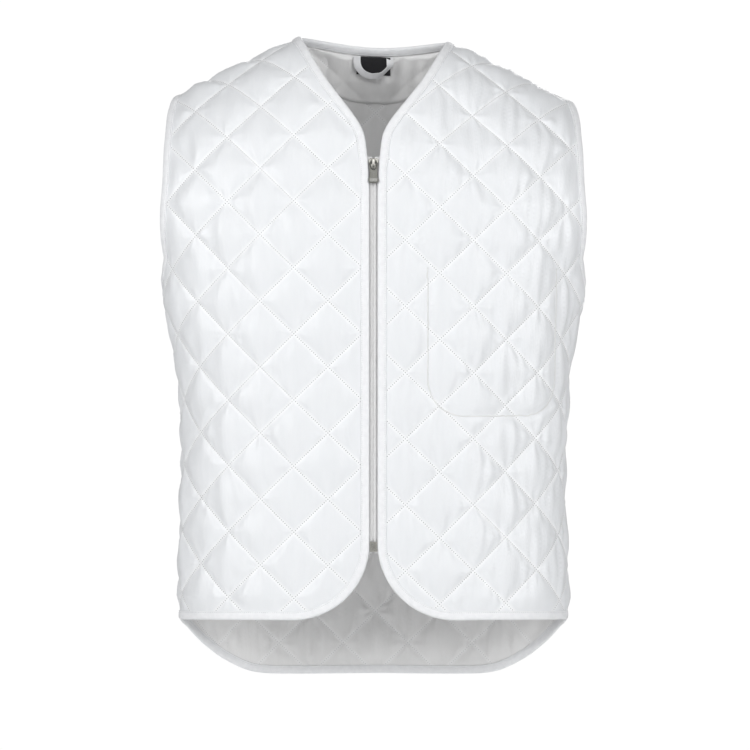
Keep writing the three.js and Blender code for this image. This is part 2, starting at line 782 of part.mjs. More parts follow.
// The edge of the inset outline that a flat place lies on, and how far along it
function placeOnOutline(outline, s, t) {
  const found = outline.map((a, i) => {
    const b = outline[(i + 1) % outline.length];
    const ds = b.s - a.s;
    const dt = b.t - a.t;
    const along = ((s - a.s) * ds + (t - a.t) * dt) / (ds * ds + dt * dt);
    const part = THREE.MathUtils.clamp(along, 0, 1);
    return { edge: i, part, miss: Math.hypot(a.s + part * ds - s, a.t + part * dt - t) };
  });
  const nearest = Math.min(...found.map((place) => place.miss));
  return found.filter((place) => place.miss < nearest + EDGE_TOLERANCE);
}

// Triangles between two chains of vertices that run side by side, each with its share of the way
function stitchChains(a, b, triangles) {
  let i = 0;
  let j = 0;
  while (i < a.length - 1 || j < b.length - 1) {
    const nextA = i < a.length - 1 ? a[i + 1].part + a[i].part : Infinity;
    const nextB = j < b.length - 1 ? b[j + 1].part + b[j].part : Infinity;
    if (nextA <= nextB) {
      triangles.push(a[i].index, b[j].index, a[i + 1].index);
      i += 1;
    } else {
      triangles.push(a[i].index, b[j].index, b[j + 1].index);
      j += 1;
    }
  }
}

// Quilted cloth: puffed between the stitch lines, with a thin margin pressed flat in each binding
function quiltedGeometry(outline, face, side, quilt) {
  const covered = BINDING_WIDTH + PUFF_CLEARANCE;
  const inset = insetOutline(outline, (edge) => (edge === 'seam' ? 0 : covered));
  const mesh = puffedSheet(inset, quilt).getMesh();
  const flat = [];
  for (let i = 0; i < mesh.vertProperties.length; i += mesh.numProp) {
    flat.push(Array.from(mesh.vertProperties.slice(i, i + 3)));
  }
  const points = flat.map(([s, t, w]) => drape(face, side * s, t, w));
  const triangles = [];
  const rims = { upper: new Set(), lower: new Set() };
  for (let i = 0; i < mesh.triVerts.length; i += 3) {
    const corners = Array.from(mesh.triVerts.slice(i, i + 3));
    const [a, b, c] = corners.map((k) => new THREE.Vector3(...flat[k]));
    const facing = b.sub(a).cross(c.sub(a)).normalize();
    if (Math.abs(facing.z) > WALL_FACING) {
      triangles.push(...corners);
    } else {
      corners.forEach((k) => (flat[k][2] > 0 ? rims.upper : rims.lower).add(k));
    }
  }
  const chains = outline.map(() => ({ upper: [], lower: [] }));
  for (const level of ['upper', 'lower']) {
    rims[level].forEach((index) => {
      placeOnOutline(inset, flat[index][0], flat[index][1]).forEach(({ edge, part }) => {
        chains[edge][level].push({ index, part });
      });
    });
    chains.forEach((chain) => chain[level].sort((a, b) => a.part - b.part));
  }
  const half = EDGE_THICK / 2;
  const marginCorners = [[BINDING_WIDTH, half], [0, half], [0, -half], [BINDING_WIDTH, -half]];
  const places = withInward(outline);
  const isBound = (i) => places[(i + places.length) % places.length].edge !== 'seam';
  const margins = places.map(({ s, t, inward }, i) => {
    if (!isBound(i) && !isBound(i - 1)) {
      return [];
    }
    return marginCorners.map(([into, w]) => {
      points.push(drape(face, side * (s + inward.s * into), t + inward.t * into, w));
      return points.length - 1;
    });
  });
  chains.forEach(({ upper, lower }, i) => {
    const next = (i + 1) % places.length;
    const rows = [upper];
    if (isBound(i)) {
      margins[i].forEach((index, k) => {
        rows.push([{ index, part: 0 }, { index: margins[next][k], part: 1 }]);
      });
    }
    rows.push(lower);
    for (let k = 1; k < rows.length; k += 1) {
      stitchChains(rows[k - 1], rows[k], triangles);
    }
    if (isBound(i) !== isBound(i - 1)) {
      const cap = [upper[0].index, ...margins[i], lower[0].index];
      const ordered = isBound(i) ? cap : cap.reverse();
      for (let k = 1; k < ordered.length - 1; k += 1) {
        triangles.push(ordered[0], ordered[k + 1], ordered[k]);
      }
    }
  });
  return closedGeometry(points.flatMap((point) => [point.x, point.y, point.z]), triangles);
}

// A tube of one section along a path. sections: a list of equal lists of points.
function sweptGeometry(sections, closed) {
  const size = sections[0].length;
  const points = sections.flat().flatMap((p) => [p.x, p.y, p.z]);
  const triangles = [];
  const rings = closed ? sections.length : sections.length - 1;
  for (let i = 0; i < rings; i += 1) {
    const a = i * size;
    const b = ((i + 1) % sections.length) * size;
    for (let k = 0; k < size; k += 1) {
      const n = (k + 1) % size;
      triangles.push(a + k, a + n, b + n, a + k, b + n, b + k);
    }
  }
  if (!closed) {
    const end = (sections.length - 1) * size;
    for (let k = 1; k < size - 1; k += 1) {
      triangles.push(0, k + 1, k, end, end + k, end + k + 1);
    }
  }
  return closedGeometry(points, triangles);
}

// The folded tape's section. into: distance into the cloth from its edge. w: height.
function foldedTapeSection() {
  const near = EDGE_THICK / 2 + TAPE_CLEARANCE;
  const far = near + TAPE_THICK;
  return [
    { into: BINDING_WIDTH, w: far },
    { into: -EDGE_FOLD, w: far },
    { into: -EDGE_FOLD, w: -far },
    { into: BINDING_WIDTH, w: -far },
    { into: BINDING_WIDTH, w: -near },
    { into: -TAPE_CLEARANCE, w: -near },
    { into: -TAPE_CLEARANCE, w: near },
    { into: BINDING_WIDTH, w: near },
  ];
}

function bindingGeometry(path) {
  const section = foldedTapeSection();
  const rings = path.map(({ face, side, s, t, inward }) => {
    const edge = formPoint(face, side * s, t);
    const normal = formNormal(face, side * s, t);
    const deep = formPoint(face, side * (s + inward.s * BINDING_WIDTH), t + inward.t * BINDING_WIDTH);
    const into = deep.sub(edge).normalize();
    return section.map((corner) => {
      if (corner.into <= 0) {
        return edge.clone().addScaledVector(into, corner.into).addScaledVector(normal, corner.w);
      }
      const inS = side * (s + inward.s * corner.into);
      return drape(face, inS, t + inward.t * corner.into, corner.w);
    });
  });
  return sweptGeometry(rings, true);
}

// The places along one kind of edge, in the outline's order, with the place where it ends
function stretch(outline, edge, face, side) {
  const places = withInward(outline);
  const count = places.length;
  let first = 0;
  while (!(places[first].edge === edge && places[(first + count - 1) % count].edge !== edge)) {
    first += 1;
  }
  const found = [];
  let i = first;
  while (places[i % count].edge === edge) {
    found.push(places[i % count]);
    i += 1;
  }
  found.push(places[i % count]);
  return found.map((place) => ({ ...place, face, side }));
}

// Cloth cut by the back's outline on the wearer's left only, from the underarm to the tip
function leftArmhole(outline) {
  const left = outline.filter((place) => place.s > 0);
  return stretch(left, 'armhole', BACK, 1);
}

function edgeLoop(front, back) {
  const left = stretch(front, 'edge', FRONT, 1);
  const right = stretch(front, 'edge', FRONT, -1).reverse();
  const tail = stretch(back, 'edge', BACK, 1).slice(1, -1).reverse();
  const neck = stretch(back, 'neck', BACK, 1).slice(1, -1).reverse();
  return [...left, ...tail, ...right, ...neck];
}

function armholeLoop(front, back, side) {
  const frontHalf = stretch(front, 'armhole', FRONT, side);
  const backHalf = leftArmhole(back).slice(1, -1).reverse();
  return [...frontHalf, ...backHalf.map((place) => ({ ...place, side }))];
}

// A flat tape draped along a path of places with their own heights
function tapeGeometry(face, path, width, thickness) {
  const rings = path.map((place, i) => {
    const along = unit(path[Math.max(i - 1, 0)], path[Math.min(i + 1, path.length - 1)]);
    const corner = (across, w) => drape(
      face,
      place.s - along.t * across * width * 0.5,
      place.t + along.s * across * width * 0.5,
      place.w + w * thickness * 0.5,
    );
    return [corner(-1, -1), corner(1, -1), corner(1, 1), corner(-1, 1)];
  });
  return sweptGeometry(rings, false);
}

const gilet = new THREE.Group();

function addPiece(name, geometry, material, parent = gilet) {
  const mesh = new THREE.Mesh(geometry, material);
  mesh.name = name;
  parent.add(mesh);
  return mesh;
}

function finish(color, roughness, metalness = 0) {
  return new THREE.MeshStandardMaterial({ color, roughness, metalness });
}

const FRONT_OUTLINE = frontOutline();
const BACK_OUTLINE = backOutline();
const ZIP_TOP_GUESS = { s: EDGE_TOP, t: CHEST_DROP - ZIP_TOP_DROP };
const ZIP_TOP_T = placeSeen(FRONT, ZIP_TOP_GUESS, seenFromFront(EDGE_TOP, -ZIP_TOP_DROP)).t;
const TAPE_OUTER_W = -(EDGE_THICK / 2 + TAPE_CLEARANCE + TAPE_THICK) - ZIP_TAPE_CLEARANCE;

const QUILTED = finish(0xeff0f2, 0.5);
for (const [name, side, quilt] of [['front_right', -1, QUILT_RIGHT], ['front_left', 1, QUILT_LEFT]]) {
  addPiece(name, quiltedGeometry(FRONT_OUTLINE, FRONT, side, quilt), QUILTED.clone());
}
addPiece('back', quiltedGeometry(BACK_OUTLINE, BACK, 1, QUILT_BACK), QUILTED.clone());
addPiece('edge_binding', bindingGeometry(edgeLoop(FRONT_OUTLINE, BACK_OUTLINE)), finish(0xf2f3f5, 0.6));
for (const [name, side] of [['armhole_binding_right', -1], ['armhole_binding_left', 1]]) {
  addPiece(name, bindingGeometry(armholeLoop(FRONT_OUTLINE, BACK_OUTLINE, side)), finish(0xf2f3f5, 0.6));
}

// Zip: tapes behind the front edges, the chain lying on them and the box closing its foot
function zipPath(s, from, to, w) {
  return stepsBetween(from, to, STRAIGHT_STEP).map((t) => ({ s, t, w }));
}

function addZip() {
  const boxTopT = CHEST_DROP - ZIP_BOX_DROP;
  const footT = boxTopT - ZIP_BOX_TALL - ZIP_TAIL;
  const tapeMiddle = ZIP_TAPE_PART / 2 + ZIP_TAPE_WIDE / 2;
  const tapeW = TAPE_OUTER_W - ZIP_TAPE_THICK / 2;
  for (const [name, side] of [['zip_tape_right', -1], ['zip_tape_left', 1]]) {
    const path = zipPath(side * tapeMiddle, footT, ZIP_TOP_T, tapeW);
    addPiece(name, tapeGeometry(FRONT, path, ZIP_TAPE_WIDE, ZIP_TAPE_THICK), finish(0xf1f1f1, 0.8));
  }
  const sliderT = ZIP_TOP_T + ZIP_TOP_DROP - SLIDER_DROP;
  const postFoot = SLIDER_TALL / 2 - POST_TALL;
  const chainTop = sliderT + postFoot - GAP;
  const chainW = TAPE_OUTER_W + GAP + CHAIN_THICK / 2;
  const chain = zipPath(0, boxTopT + GAP, chainTop, chainW);
  addPiece('zip_chain', tapeGeometry(FRONT, chain, CHAIN_WIDE, CHAIN_THICK), finish(0xe2e2e2, 0.5));
  const boxW = TAPE_OUTER_W + GAP + ZIP_BOX_THICK / 2;
  const box = zipPath(0, boxTopT - ZIP_BOX_TALL, boxTopT, boxW);
  const boxGeometry = tapeGeometry(FRONT, box, ZIP_BOX_WIDE, ZIP_BOX_THICK);
  addPiece('zip_box', boxGeometry, finish(0x9b9b9b, 0.35, 0.9));
  return { sliderT, chainW };
}

// A plate seen from the front, from its half outline. Heights run outward, along -Y.
function plateSolid(corners, low, high, holes = []) {
  const points = corners.map(([x, z]) => new THREE.Vector2(x, z));
  const mirrored = corners.slice().reverse().map(([x, z]) => new THREE.Vector2(-x, z));
  const shape = new THREE.Shape([...points, ...mirrored]);
  holes.forEach((hole) => shape.holes.push(hole));
  const geometry = new THREE.ExtrudeGeometry(shape, { depth: high - low, bevelEnabled: false });
  geometry.translate(0, 0, low);
  geometry.rotateX(Math.PI / 2);
  return geometrySolid(geometry);
}

function blockSolid(x0, x1, low, high, z0, z1) {
  const geometry = new THREE.BoxGeometry(x1 - x0, high - low, z1 - z0);
  geometry.translate((x0 + x1) / 2, -(low + high) / 2, (z0 + z1) / 2);
  return geometrySolid(geometry);
}

const PLATE_LOW = 0;
const PLATE_HIGH = PLATE_LOW + SLIDER_PLATE;
const PIVOT_RADIUS = Math.hypot(PULLER_THICK, PULLER_BAR) / 2;
const PIVOT_OUT = PLATE_HIGH + PIVOT_RADIUS + PIVOT_CLEARANCE;

function sliderSolid(chainW) {
  const half = SLIDER_TALL / 2;
  const foot = SLIDER_FOOT_WIDE / 2;
  const corners = SLIDER_ROWS.map((row) => [(row.across * SLIDER_WIDE) / 2, row.up * half]);
  const backHigh = TAPE_OUTER_W - ZIP_TAPE_THICK - SLIDER_CLEARANCE;
  let solid = plateSolid(corners, PLATE_LOW, PLATE_HIGH);
  solid = solid.add(plateSolid(corners, backHigh - SLIDER_PLATE, backHigh));
  const postHigh = PLATE_LOW + SLIDER_PLATE / 2;
  const postLow = backHigh - SLIDER_PLATE / 2;
  const postTop = half - POST_TOP_GAP;
  solid = solid.add(blockSolid(-POST_WIDE / 2, POST_WIDE / 2, postLow, postHigh, half - POST_TALL, postTop));
  const flangeLow = chainW - CHAIN_THICK / 2 + SLIDER_CLEARANCE;
  for (const side of [-1, 1]) {
    const a = side * foot;
    const b = side * (foot - SLIDER_FLANGE);
    solid = solid.add(blockSolid(Math.min(a, b), Math.max(a, b), flangeLow, postHigh, FLANGE_FOOT, FLANGE_TOP));
  }
  const opening = PIVOT_RADIUS + PIVOT_CLEARANCE;
  const roof = PIVOT_OUT + opening;
  const top = PIVOT_RISE + opening + BRIDGE_THICK;
  const bottom = top - BRIDGE_TALL;
  const sunk = SLIDER_PLATE / 2;
  const slope = BRIDGE_THICK;
  const outer = new THREE.Shape([
    new THREE.Vector2(top, PLATE_HIGH - sunk),
    new THREE.Vector2(top, roof),
    new THREE.Vector2(top - slope, roof + BRIDGE_THICK),
    new THREE.Vector2(bottom + slope, roof + BRIDGE_THICK),
    new THREE.Vector2(bottom, roof),
    new THREE.Vector2(bottom, PLATE_HIGH - sunk),
    new THREE.Vector2(bottom + BRIDGE_THICK, PLATE_HIGH - sunk),
    new THREE.Vector2(bottom + BRIDGE_THICK, roof),
    new THREE.Vector2(top - BRIDGE_THICK, roof),
    new THREE.Vector2(top - BRIDGE_THICK, PLATE_HIGH - sunk),
  ]);
  const bridge = new THREE.ExtrudeGeometry(outer, { depth: BRIDGE_WIDE, bevelEnabled: false });
  const place = new THREE.Matrix4().makeBasis(
    new THREE.Vector3(0, 0, 1),
    new THREE.Vector3(0, -1, 0),
    new THREE.Vector3(1, 0, 0),
  );
  bridge.applyMatrix4(place.setPosition(-BRIDGE_WIDE / 2, 0, 0));
  return solid.add(geometrySolid(bridge));
}

// The puller hangs from its bar, which lies along X at the local origin
function pullerSolid() {
  const barTop = PULLER_BAR / 2;
  const foot = barTop - PULLER_LONG;
  const corners = PULLER_ROWS.map((row) => [(row.across * PULLER_WIDE) / 2, barTop - row.down * PULLER_LONG]);
  const windowHalf = PULLER_WINDOW_WIDE / 2;
  const windowFoot = -barTop - PULLER_WINDOW_TALL;
  const hole = new THREE.Path();
  hole.moveTo(windowHalf, -barTop);
  hole.lineTo(-windowHalf, -barTop);
  hole.lineTo(-windowHalf, windowFoot + PULLER_WINDOW_CORNER);
  hole.lineTo(-windowHalf + PULLER_WINDOW_CORNER, windowFoot);
  hole.lineTo(windowHalf - PULLER_WINDOW_CORNER, windowFoot);
  hole.lineTo(windowHalf, windowFoot + PULLER_WINDOW_CORNER);
  const low = -PULLER_THICK / 2;
  const high = PULLER_THICK / 2;
  const plate = plateSolid(corners, low, high, [hole]);
  const panelHalf = PULLER_PANEL_WIDE / 2;
  const panelFoot = foot + PULLER_PANEL_RISE;
  const panelTop = panelFoot + PULLER_PANEL_TALL;
  const recess = plateSolid(
    [
      [panelHalf - PULLER_PANEL_CORNER, panelFoot],
      [panelHalf, panelFoot + PULLER_PANEL_CORNER],
      [panelHalf, panelTop],
    ],
    high - PULLER_PANEL_DEEP,
    high + PULLER_THICK,
  );
  return plate.subtract(recess);
}

function addSlider(sliderT, chainW) {
  const centre = formPoint(FRONT, 0, sliderT);
  const up = centre.clone().sub(formPoint(FRONT, 0, sliderT - PROBE));
  const slider = new THREE.Group();
  slider.position.copy(centre);
  slider.rotation.x = Math.atan2(-up.y, up.z);
  gilet.add(slider);
  addPiece('zip_slider', solidGeometry(sliderSolid(chainW)), finish(0xa6a6a6, 0.3, 0.95), slider);
  const hinge = new THREE.Group();
  hinge.position.set(0, -PIVOT_OUT, PIVOT_RISE);
  slider.add(hinge);
  addPiece('zip_puller', solidGeometry(pullerSolid()), finish(0x8d8d8d, 0.35, 0.9), hinge);
}

const { sliderT, chainW } = addZip();
addSlider(sliderT, chainW);

// Inside pieces, each one lying on the puffs or on the piece behind it
const LINING_W = -(STITCH_THICK / 2 + PUFF_IN) - GAP;
const PATCH_W = LINING_W - PATCH_THICK;
const LABEL_W = PATCH_W - LABEL_CLEARANCE;
const LOOP_W = LABEL_W - LABEL_THICK - 2 * GAP - TAPE_THICK / 2;

function addNeckFacing() {
  const fall = BINDING_WIDTH + PUFF_CLEARANCE;
  const inset = insetOutline(BACK_OUTLINE, (edge) => (edge === 'seam' ? SEAM_GAP : fall));
  const upper = inset.filter((place) => place.edge === 'neck' && Math.abs(place.s) < FACING_HALF_WIDTH);
  const centreT = Math.min(...upper.map((place) => place.t));
  const tip = upper[0];
  const footT = centreT + fall - FACING_DEPTH;
  const tipT = tip.t - FACING_TIP_RISE;
  const lower = stepsBetween(-tip.s, tip.s, CURVE_STEP).map((s) => {
    const part = Math.abs(s / tip.s) ** FACING_POWER;
    return { s, t: footT + (tipT - footT) * part };
  });
  const outline = [...lower, ...upper];
  const solid = followingSheet(outline, QUILT_BACK, LINING_W, PATCH_W);
  addPiece('neck_facing', drapedGeometry(solid, BACK, 1), finish(0xe4e6ea, 0.6));
  return centreT;
}

function addLabelAndLoop(topT) {
  const wide = LABEL_WIDE / 2;
  const foot = topT - LABEL_TALL;
  const outline = [{ s: -wide, t: foot }, { s: wide, t: foot }, { s: wide, t: topT }, { s: -wide, t: topT }];
  const label = followingSheet(outline, QUILT_BACK, LABEL_W, LABEL_W - LABEL_THICK);
  addPiece('neck_label', drapedGeometry(label, BACK, 1), finish(0x1d1d1f, 0.7));
  const half = (LOOP_WIDE - LOOP_TAPE_WIDE) / 2;
  const middle = topT - LOOP_DROP + LOOP_TAPE_WIDE / 2;
  const path = [{ s: -half, t: topT, w: LOOP_W }];
  const leg = (side, list) => list.map(({ s, t }) => ({ s: side * s, t }));
  const bend = [];
  for (let i = 0; i <= BEND_STEPS; i += 1) {
    const turn = (i / BEND_STEPS) * Math.PI * 0.5;
    bend.push({ s: half - LOOP_CORNER * (1 - Math.cos(turn)), t: middle + LOOP_CORNER * (1 - Math.sin(turn)) });
  }
  const places = [...leg(-1, bend), ...leg(1, bend.slice().reverse())];
  places.forEach((place) => {
    const down = (topT - place.t) / (topT - middle);
    path.push({ ...place, w: LOOP_W - LOOP_STAND_OFF * down * down });
  });
  path.push({ s: half, t: topT, w: LOOP_W });
  addPiece('hanger_loop', tapeGeometry(BACK, path, LOOP_TAPE_WIDE, TAPE_THICK), finish(0xe9eaec, 0.7));
}

function addPocket() {
  const top = CHEST_DROP - POCKET_DROP;
  const foot = top - POCKET_TALL;
  const left = POCKET_INSET;
  const right = POCKET_INSET + POCKET_WIDE;
  const bottom = [];
  for (let i = 0; i <= BEND_STEPS; i += 1) {
    const turn = (i / BEND_STEPS) * Math.PI * 0.5;
    const s = left + POCKET_CORNER * (1 - Math.cos(turn));
    bottom.push({ s, t: foot + POCKET_CORNER * (1 - Math.sin(turn)) });
  }
  const mirrored = bottom.slice().reverse().map(({ s, t }) => ({ s: left + right - s, t }));
  const outline = [{ s: left, t: top }, ...bottom, ...mirrored, { s: right, t: top }];
  const solid = followingSheet(outline, QUILT_LEFT, LINING_W, PATCH_W);
  addPiece('inner_pocket', drapedGeometry(solid, FRONT, 1), finish(0xe6e7ea, 0.7));
}

const facingTopT = addNeckFacing();
addLabelAndLoop(facingTopT + LABEL_RISE);
addPocket();

export default gilet;
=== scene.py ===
import math

import bmesh
import bpy
import numpy as np
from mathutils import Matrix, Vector


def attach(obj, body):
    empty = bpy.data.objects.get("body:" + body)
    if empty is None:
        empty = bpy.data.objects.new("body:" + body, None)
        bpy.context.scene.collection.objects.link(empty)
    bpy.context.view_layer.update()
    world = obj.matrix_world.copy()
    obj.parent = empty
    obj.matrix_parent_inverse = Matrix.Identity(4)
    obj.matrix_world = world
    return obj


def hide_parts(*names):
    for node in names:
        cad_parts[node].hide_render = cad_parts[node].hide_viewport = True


# Thermal gilet: quilted cloth draped on the same worn form as the solids, with padded diamonds,
# bound edges, stitching, a coil zip, and the facing, label and loop inside the back neck.
# Sizes are in millimetres until a mesh is made.

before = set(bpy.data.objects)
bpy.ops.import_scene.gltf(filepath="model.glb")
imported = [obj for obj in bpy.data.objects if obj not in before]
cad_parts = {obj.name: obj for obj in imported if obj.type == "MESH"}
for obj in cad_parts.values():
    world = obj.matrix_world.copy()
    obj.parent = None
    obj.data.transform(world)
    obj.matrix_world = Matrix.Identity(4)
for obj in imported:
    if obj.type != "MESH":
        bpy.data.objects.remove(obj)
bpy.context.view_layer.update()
MM = 0.001
RNG = np.random.default_rng(11)

# The worn form, as in the solids
CHEST_HALF_WIDTH = 254.0
CHEST_DROP = 225.0
SHOULDER_HALF_WIDTH = 239.0
SHOULDER_FALL = 72.0
SHOULDER_SEAM_BACK = 14.0
SHOULDER_TILT = 3.7
TILT_EASE = 80.0
NECK_HALF_WIDTH = 89.0
NECK_RISE = 38.0
ZIP_TOP_DROP = 109.0
UNDERARM_DROP = 253.0
FRONT_HEM_DROP = 648.0
SIDE_HEM_DROP = 655.0
TAIL_DROP = 731.0
CORNER_WIDE = 90.0
CORNER_DROP = 560.0
ARMHOLE_FRONT_REACH = 62.0
ARMHOLE_BACK_REACH = 56.0
BACK_NECK_DEPTH = 38.0
BACK_NECK_POWER = 1.16
QUILT_WIDE = 79.6
QUILT_TALL = 77.0
SEAM_GAP = 0.3
EDGE_FOLD = 1.6
EDGE_TOP = 7.2 + EDGE_FOLD
EDGE_BOTTOM = 4.7 + EDGE_FOLD
EDGE_CLOSING = 40

FRONT = {"sign": -1.0, "depth": 116.0, "power": 2.4, "column": "front"}
BACK = {"sign": 1.0, "depth": 104.0, "power": 2.5, "column": "back"}

BODY_ROWS = {
    "down": (0.0, 0.1, 0.19, 0.33, 0.56, 0.76, 1.0),
    "wide": (1.0, 0.981, 0.94, 0.906, 0.896, 0.909, 0.905),
    "front": (1.0, 0.995, 0.985, 0.965, 0.945, 0.95, 0.96),
    "back": (1.0, 0.985, 0.95, 0.92, 0.93, 0.99, 1.03),
}
SHOULDER_ROWS = {
    "up": (0.0, 0.15, 0.3, 0.5, 0.65, 0.8, 1.0),
    "wide": (1.0, 1.052, 1.085, 1.077, 1.063, 1.03, 0.965),
}
ARMHOLE_FRONT_ROWS = ((0.046, 0.38), (0.196, 0.77), (0.4, 1.0), (0.61, 0.91), (0.84, 0.58))
ARMHOLE_BACK_ROWS = ((0.04, 0.42), (0.17, 0.84), (0.4, 1.0), (0.65, 0.87), (0.86, 0.5))
NECK_ROWS = ((0.0, 0.0), (0.19, 0.19), (0.383, 0.367), (0.679, 0.585), (0.869, 0.728), (0.956, 0.83), (1.0, 1.0))
TAIL_ROWS = {
    "out": (0.0, 0.37, 0.533, 0.66, 0.77, 0.875, 1.0),
    "down": (1.0, 1.0, 0.95, 0.74, 0.46, 0.17, 0.0),
}

SECTION_STEPS = 72
TURN_STEPS = 36
PROBE = 0.4


def read_rows(keys, values, at):
    keys = np.asarray(keys)
    values = np.asarray(values)
    last = len(keys) - 1
    i = np.clip(np.searchsorted(keys, at, side="left") - 1, 0, last - 1)

    def slope(j):
        before = np.maximum(j - 1, 0)
        after = np.minimum(j + 1, last)
        return (values[after] - values[before]) / (keys[after] - keys[before])

    span = keys[i + 1] - keys[i]
    u = np.clip((at - keys[i]) / span, 0, 1)
    u2 = u * u
    u3 = u2 * u
    start = (2 * u3 - 3 * u2 + 1) * values[i] + (u3 - 2 * u2 + u) * span * slope(i)
    return start + (3 * u2 - 2 * u3) * values[i + 1] + (u3 - u2) * span * slope(i + 1)


def walk_section(half_width, depth, power, reach):
    """x, y and the quarter's whole length after walking reach along a horizontal section."""
    turn = np.linspace(0, math.pi / 2, SECTION_STEPS + 1)
    across = np.sin(turn) ** (2 / power)
    along = np.cos(turn) ** (2 / power)
    across[-1] = 1.0
    along[-1] = 0.0
    xs = half_width[:, None] * across
    ys = depth[:, None] * along
    steps = np.hypot(np.diff(xs, axis=1), np.diff(ys, axis=1))
    ends = np.cumsum(steps, axis=1)
    length = ends[:, -1]
    index = (ends < reach[:, None]).sum(axis=1)
    beyond = index >= SECTION_STEPS
    index = np.minimum(index, SECTION_STEPS - 1)
    rows = np.arange(len(reach))
    part = 1 - (ends[rows, index] - reach) / np.maximum(steps[rows, index], 1e-9)
    x = xs[rows, index] + (xs[rows, index + 1] - xs[rows, index]) * part
    y = ys[rows, index] + (ys[rows, index + 1] - ys[rows, index]) * part
    thick = depth > PROBE
    x = np.where(beyond, np.where(thick, half_width, half_width + reach - length), x)
    y = np.where(beyond, np.where(thick, length - reach, 0), y)
    return x, y, length


def shoulder_height(x):
    slope = SHOULDER_FALL / (SHOULDER_HALF_WIDTH - NECK_HALF_WIDTH)
    inside = x * x / (2 * NECK_HALF_WIDTH) + NECK_HALF_WIDTH / 2
    out = np.where(x < NECK_HALF_WIDTH, inside, x)
    return NECK_RISE - slope * (out - NECK_HALF_WIDTH)


def climb(run, rise, t):
    """The length of the quarter ellipse up to the shoulder seam, and the turn after the length t."""
    turn = np.linspace(0, math.pi / 2, TURN_STEPS + 1)
    outs = run[:, None] * -np.diff(np.cos(turn))
    ups = rise[:, None] * np.diff(np.sin(turn))
    steps = np.hypot(outs, ups)
    ends = np.cumsum(steps, axis=1)
    index = np.minimum((ends < t[:, None]).sum(axis=1), TURN_STEPS - 1)
    rows = np.arange(len(t))
    part = 1 - (ends[rows, index] - t) / steps[rows, index]
    return ends[:, -1], (index + np.minimum(part, 1)) / TURN_STEPS * math.pi / 2


def section_at(face, t):
    down = -t / (TAIL_DROP - CHEST_DROP)
    half_width = CHEST_HALF_WIDTH * read_rows(BODY_ROWS["down"], BODY_ROWS["wide"], down)
    depth = face["depth"] * read_rows(BODY_ROWS["down"], BODY_ROWS[face["column"]], down)
    return half_width, depth


def climb_at(face, reach, t):
    full = np.full_like(reach, 1.0)
    x, y, _ = walk_section(CHEST_HALF_WIDTH * full, face["depth"] * full, face["power"], reach)
    rise = shoulder_height(x) + CHEST_DROP
    run = np.abs(face["sign"] * y - SHOULDER_SEAM_BACK)
    return climb(run, rise, t)


def level_exact(face, s, t):
    s = np.asarray(s, float)
    t = np.asarray(t, float)
    side = np.where(s < 0, -1.0, 1.0)
    reach = np.abs(s)
    out = np.zeros(s.shape + (3,))
    low = t <= 0
    if low.any():
        half_width, depth = section_at(face, t[low])
        x, y, _ = walk_section(half_width, depth, face["power"], reach[low])
        out[low] = np.stack([side[low] * x, face["sign"] * y, t[low] - CHEST_DROP], axis=-1)
    high = ~low
    if high.any():
        total, turn = climb_at(face, reach[high], t[high])
        wide = CHEST_HALF_WIDTH * read_rows(SHOULDER_ROWS["up"], SHOULDER_ROWS["wide"], t[high] / total)
        forward = np.cos(turn)
        x, y, _ = walk_section(wide, forward * face["depth"], face["power"], reach[high])
        ys = SHOULDER_SEAM_BACK * (1 - forward) + face["sign"] * y
        zs = (shoulder_height(x) + CHEST_DROP) * np.sin(turn) - CHEST_DROP
        out[high] = np.stack([side[high] * x, ys, zs], axis=-1)
    return out


# The form is worked out once on a grid of the flat cloth and read smoothly between
GRID_STEP = 4.0
GRID_S0 = -12.0
GRID_T0 = -536.0
GRID_S_COUNT = 92
GRID_T_COUNT = 222
for FACE in (FRONT, BACK):
    gs = GRID_S0 + GRID_STEP * np.arange(GRID_S_COUNT)
    gt = GRID_T0 + GRID_STEP * np.arange(GRID_T_COUNT)
    flat_s, flat_t = np.meshgrid(gs, gt, indexing="ij")
    FACE["grid"] = level_exact(FACE, flat_s.ravel(), flat_t.ravel()).reshape(GRID_S_COUNT, GRID_T_COUNT, 3)


def cubic_weights(u):
    u2 = u * u
    u3 = u2 * u
    return (
        -0.5 * u3 + u2 - 0.5 * u,
        1.5 * u3 - 2.5 * u2 + 1,
        -1.5 * u3 + 2 * u2 + 0.5 * u,
        0.5 * u3 - 0.5 * u2,
    )


def form_point(face, s, t):
    s = np.asarray(s, float)
    t = np.asarray(t, float)
    fs = np.clip((np.abs(s) - GRID_S0) / GRID_STEP, 1, GRID_S_COUNT - 3)
    ft = np.clip((t - GRID_T0) / GRID_STEP, 1, GRID_T_COUNT - 3)
    i = np.floor(fs).astype(int)
    j = np.floor(ft).astype(int)
    ws = cubic_weights(fs - i)
    wt = cubic_weights(ft - j)
    grid = face["grid"]
    out = np.zeros(s.shape + (3,))
    for a in range(4):
        for b in range(4):
            out += (ws[a] * wt[b])[..., None] * grid[i + a - 1, j + b - 1]
    out[..., 0] *= np.where(s < 0, -1.0, 1.0)
    ease = np.clip((out[..., 2] + UNDERARM_DROP) / (NECK_RISE + UNDERARM_DROP), 0, 1)
    ease = ease * ease * (3 - 2 * ease)
    out[..., 2] -= SHOULDER_TILT * np.tanh(out[..., 0] / TILT_EASE) * ease
    return out


def form_normal(face, s, t):
    s = np.asarray(s, float)
    t = np.asarray(t, float)
    along = form_point(face, s + PROBE, t) - form_point(face, s - PROBE, t)
    up = form_point(face, s, t + PROBE) - form_point(face, s, t - PROBE)
    normal = np.cross(along, up)
    normal /= np.maximum(np.linalg.norm(normal, axis=-1, keepdims=True), 1e-9)
    return normal * -face["sign"]


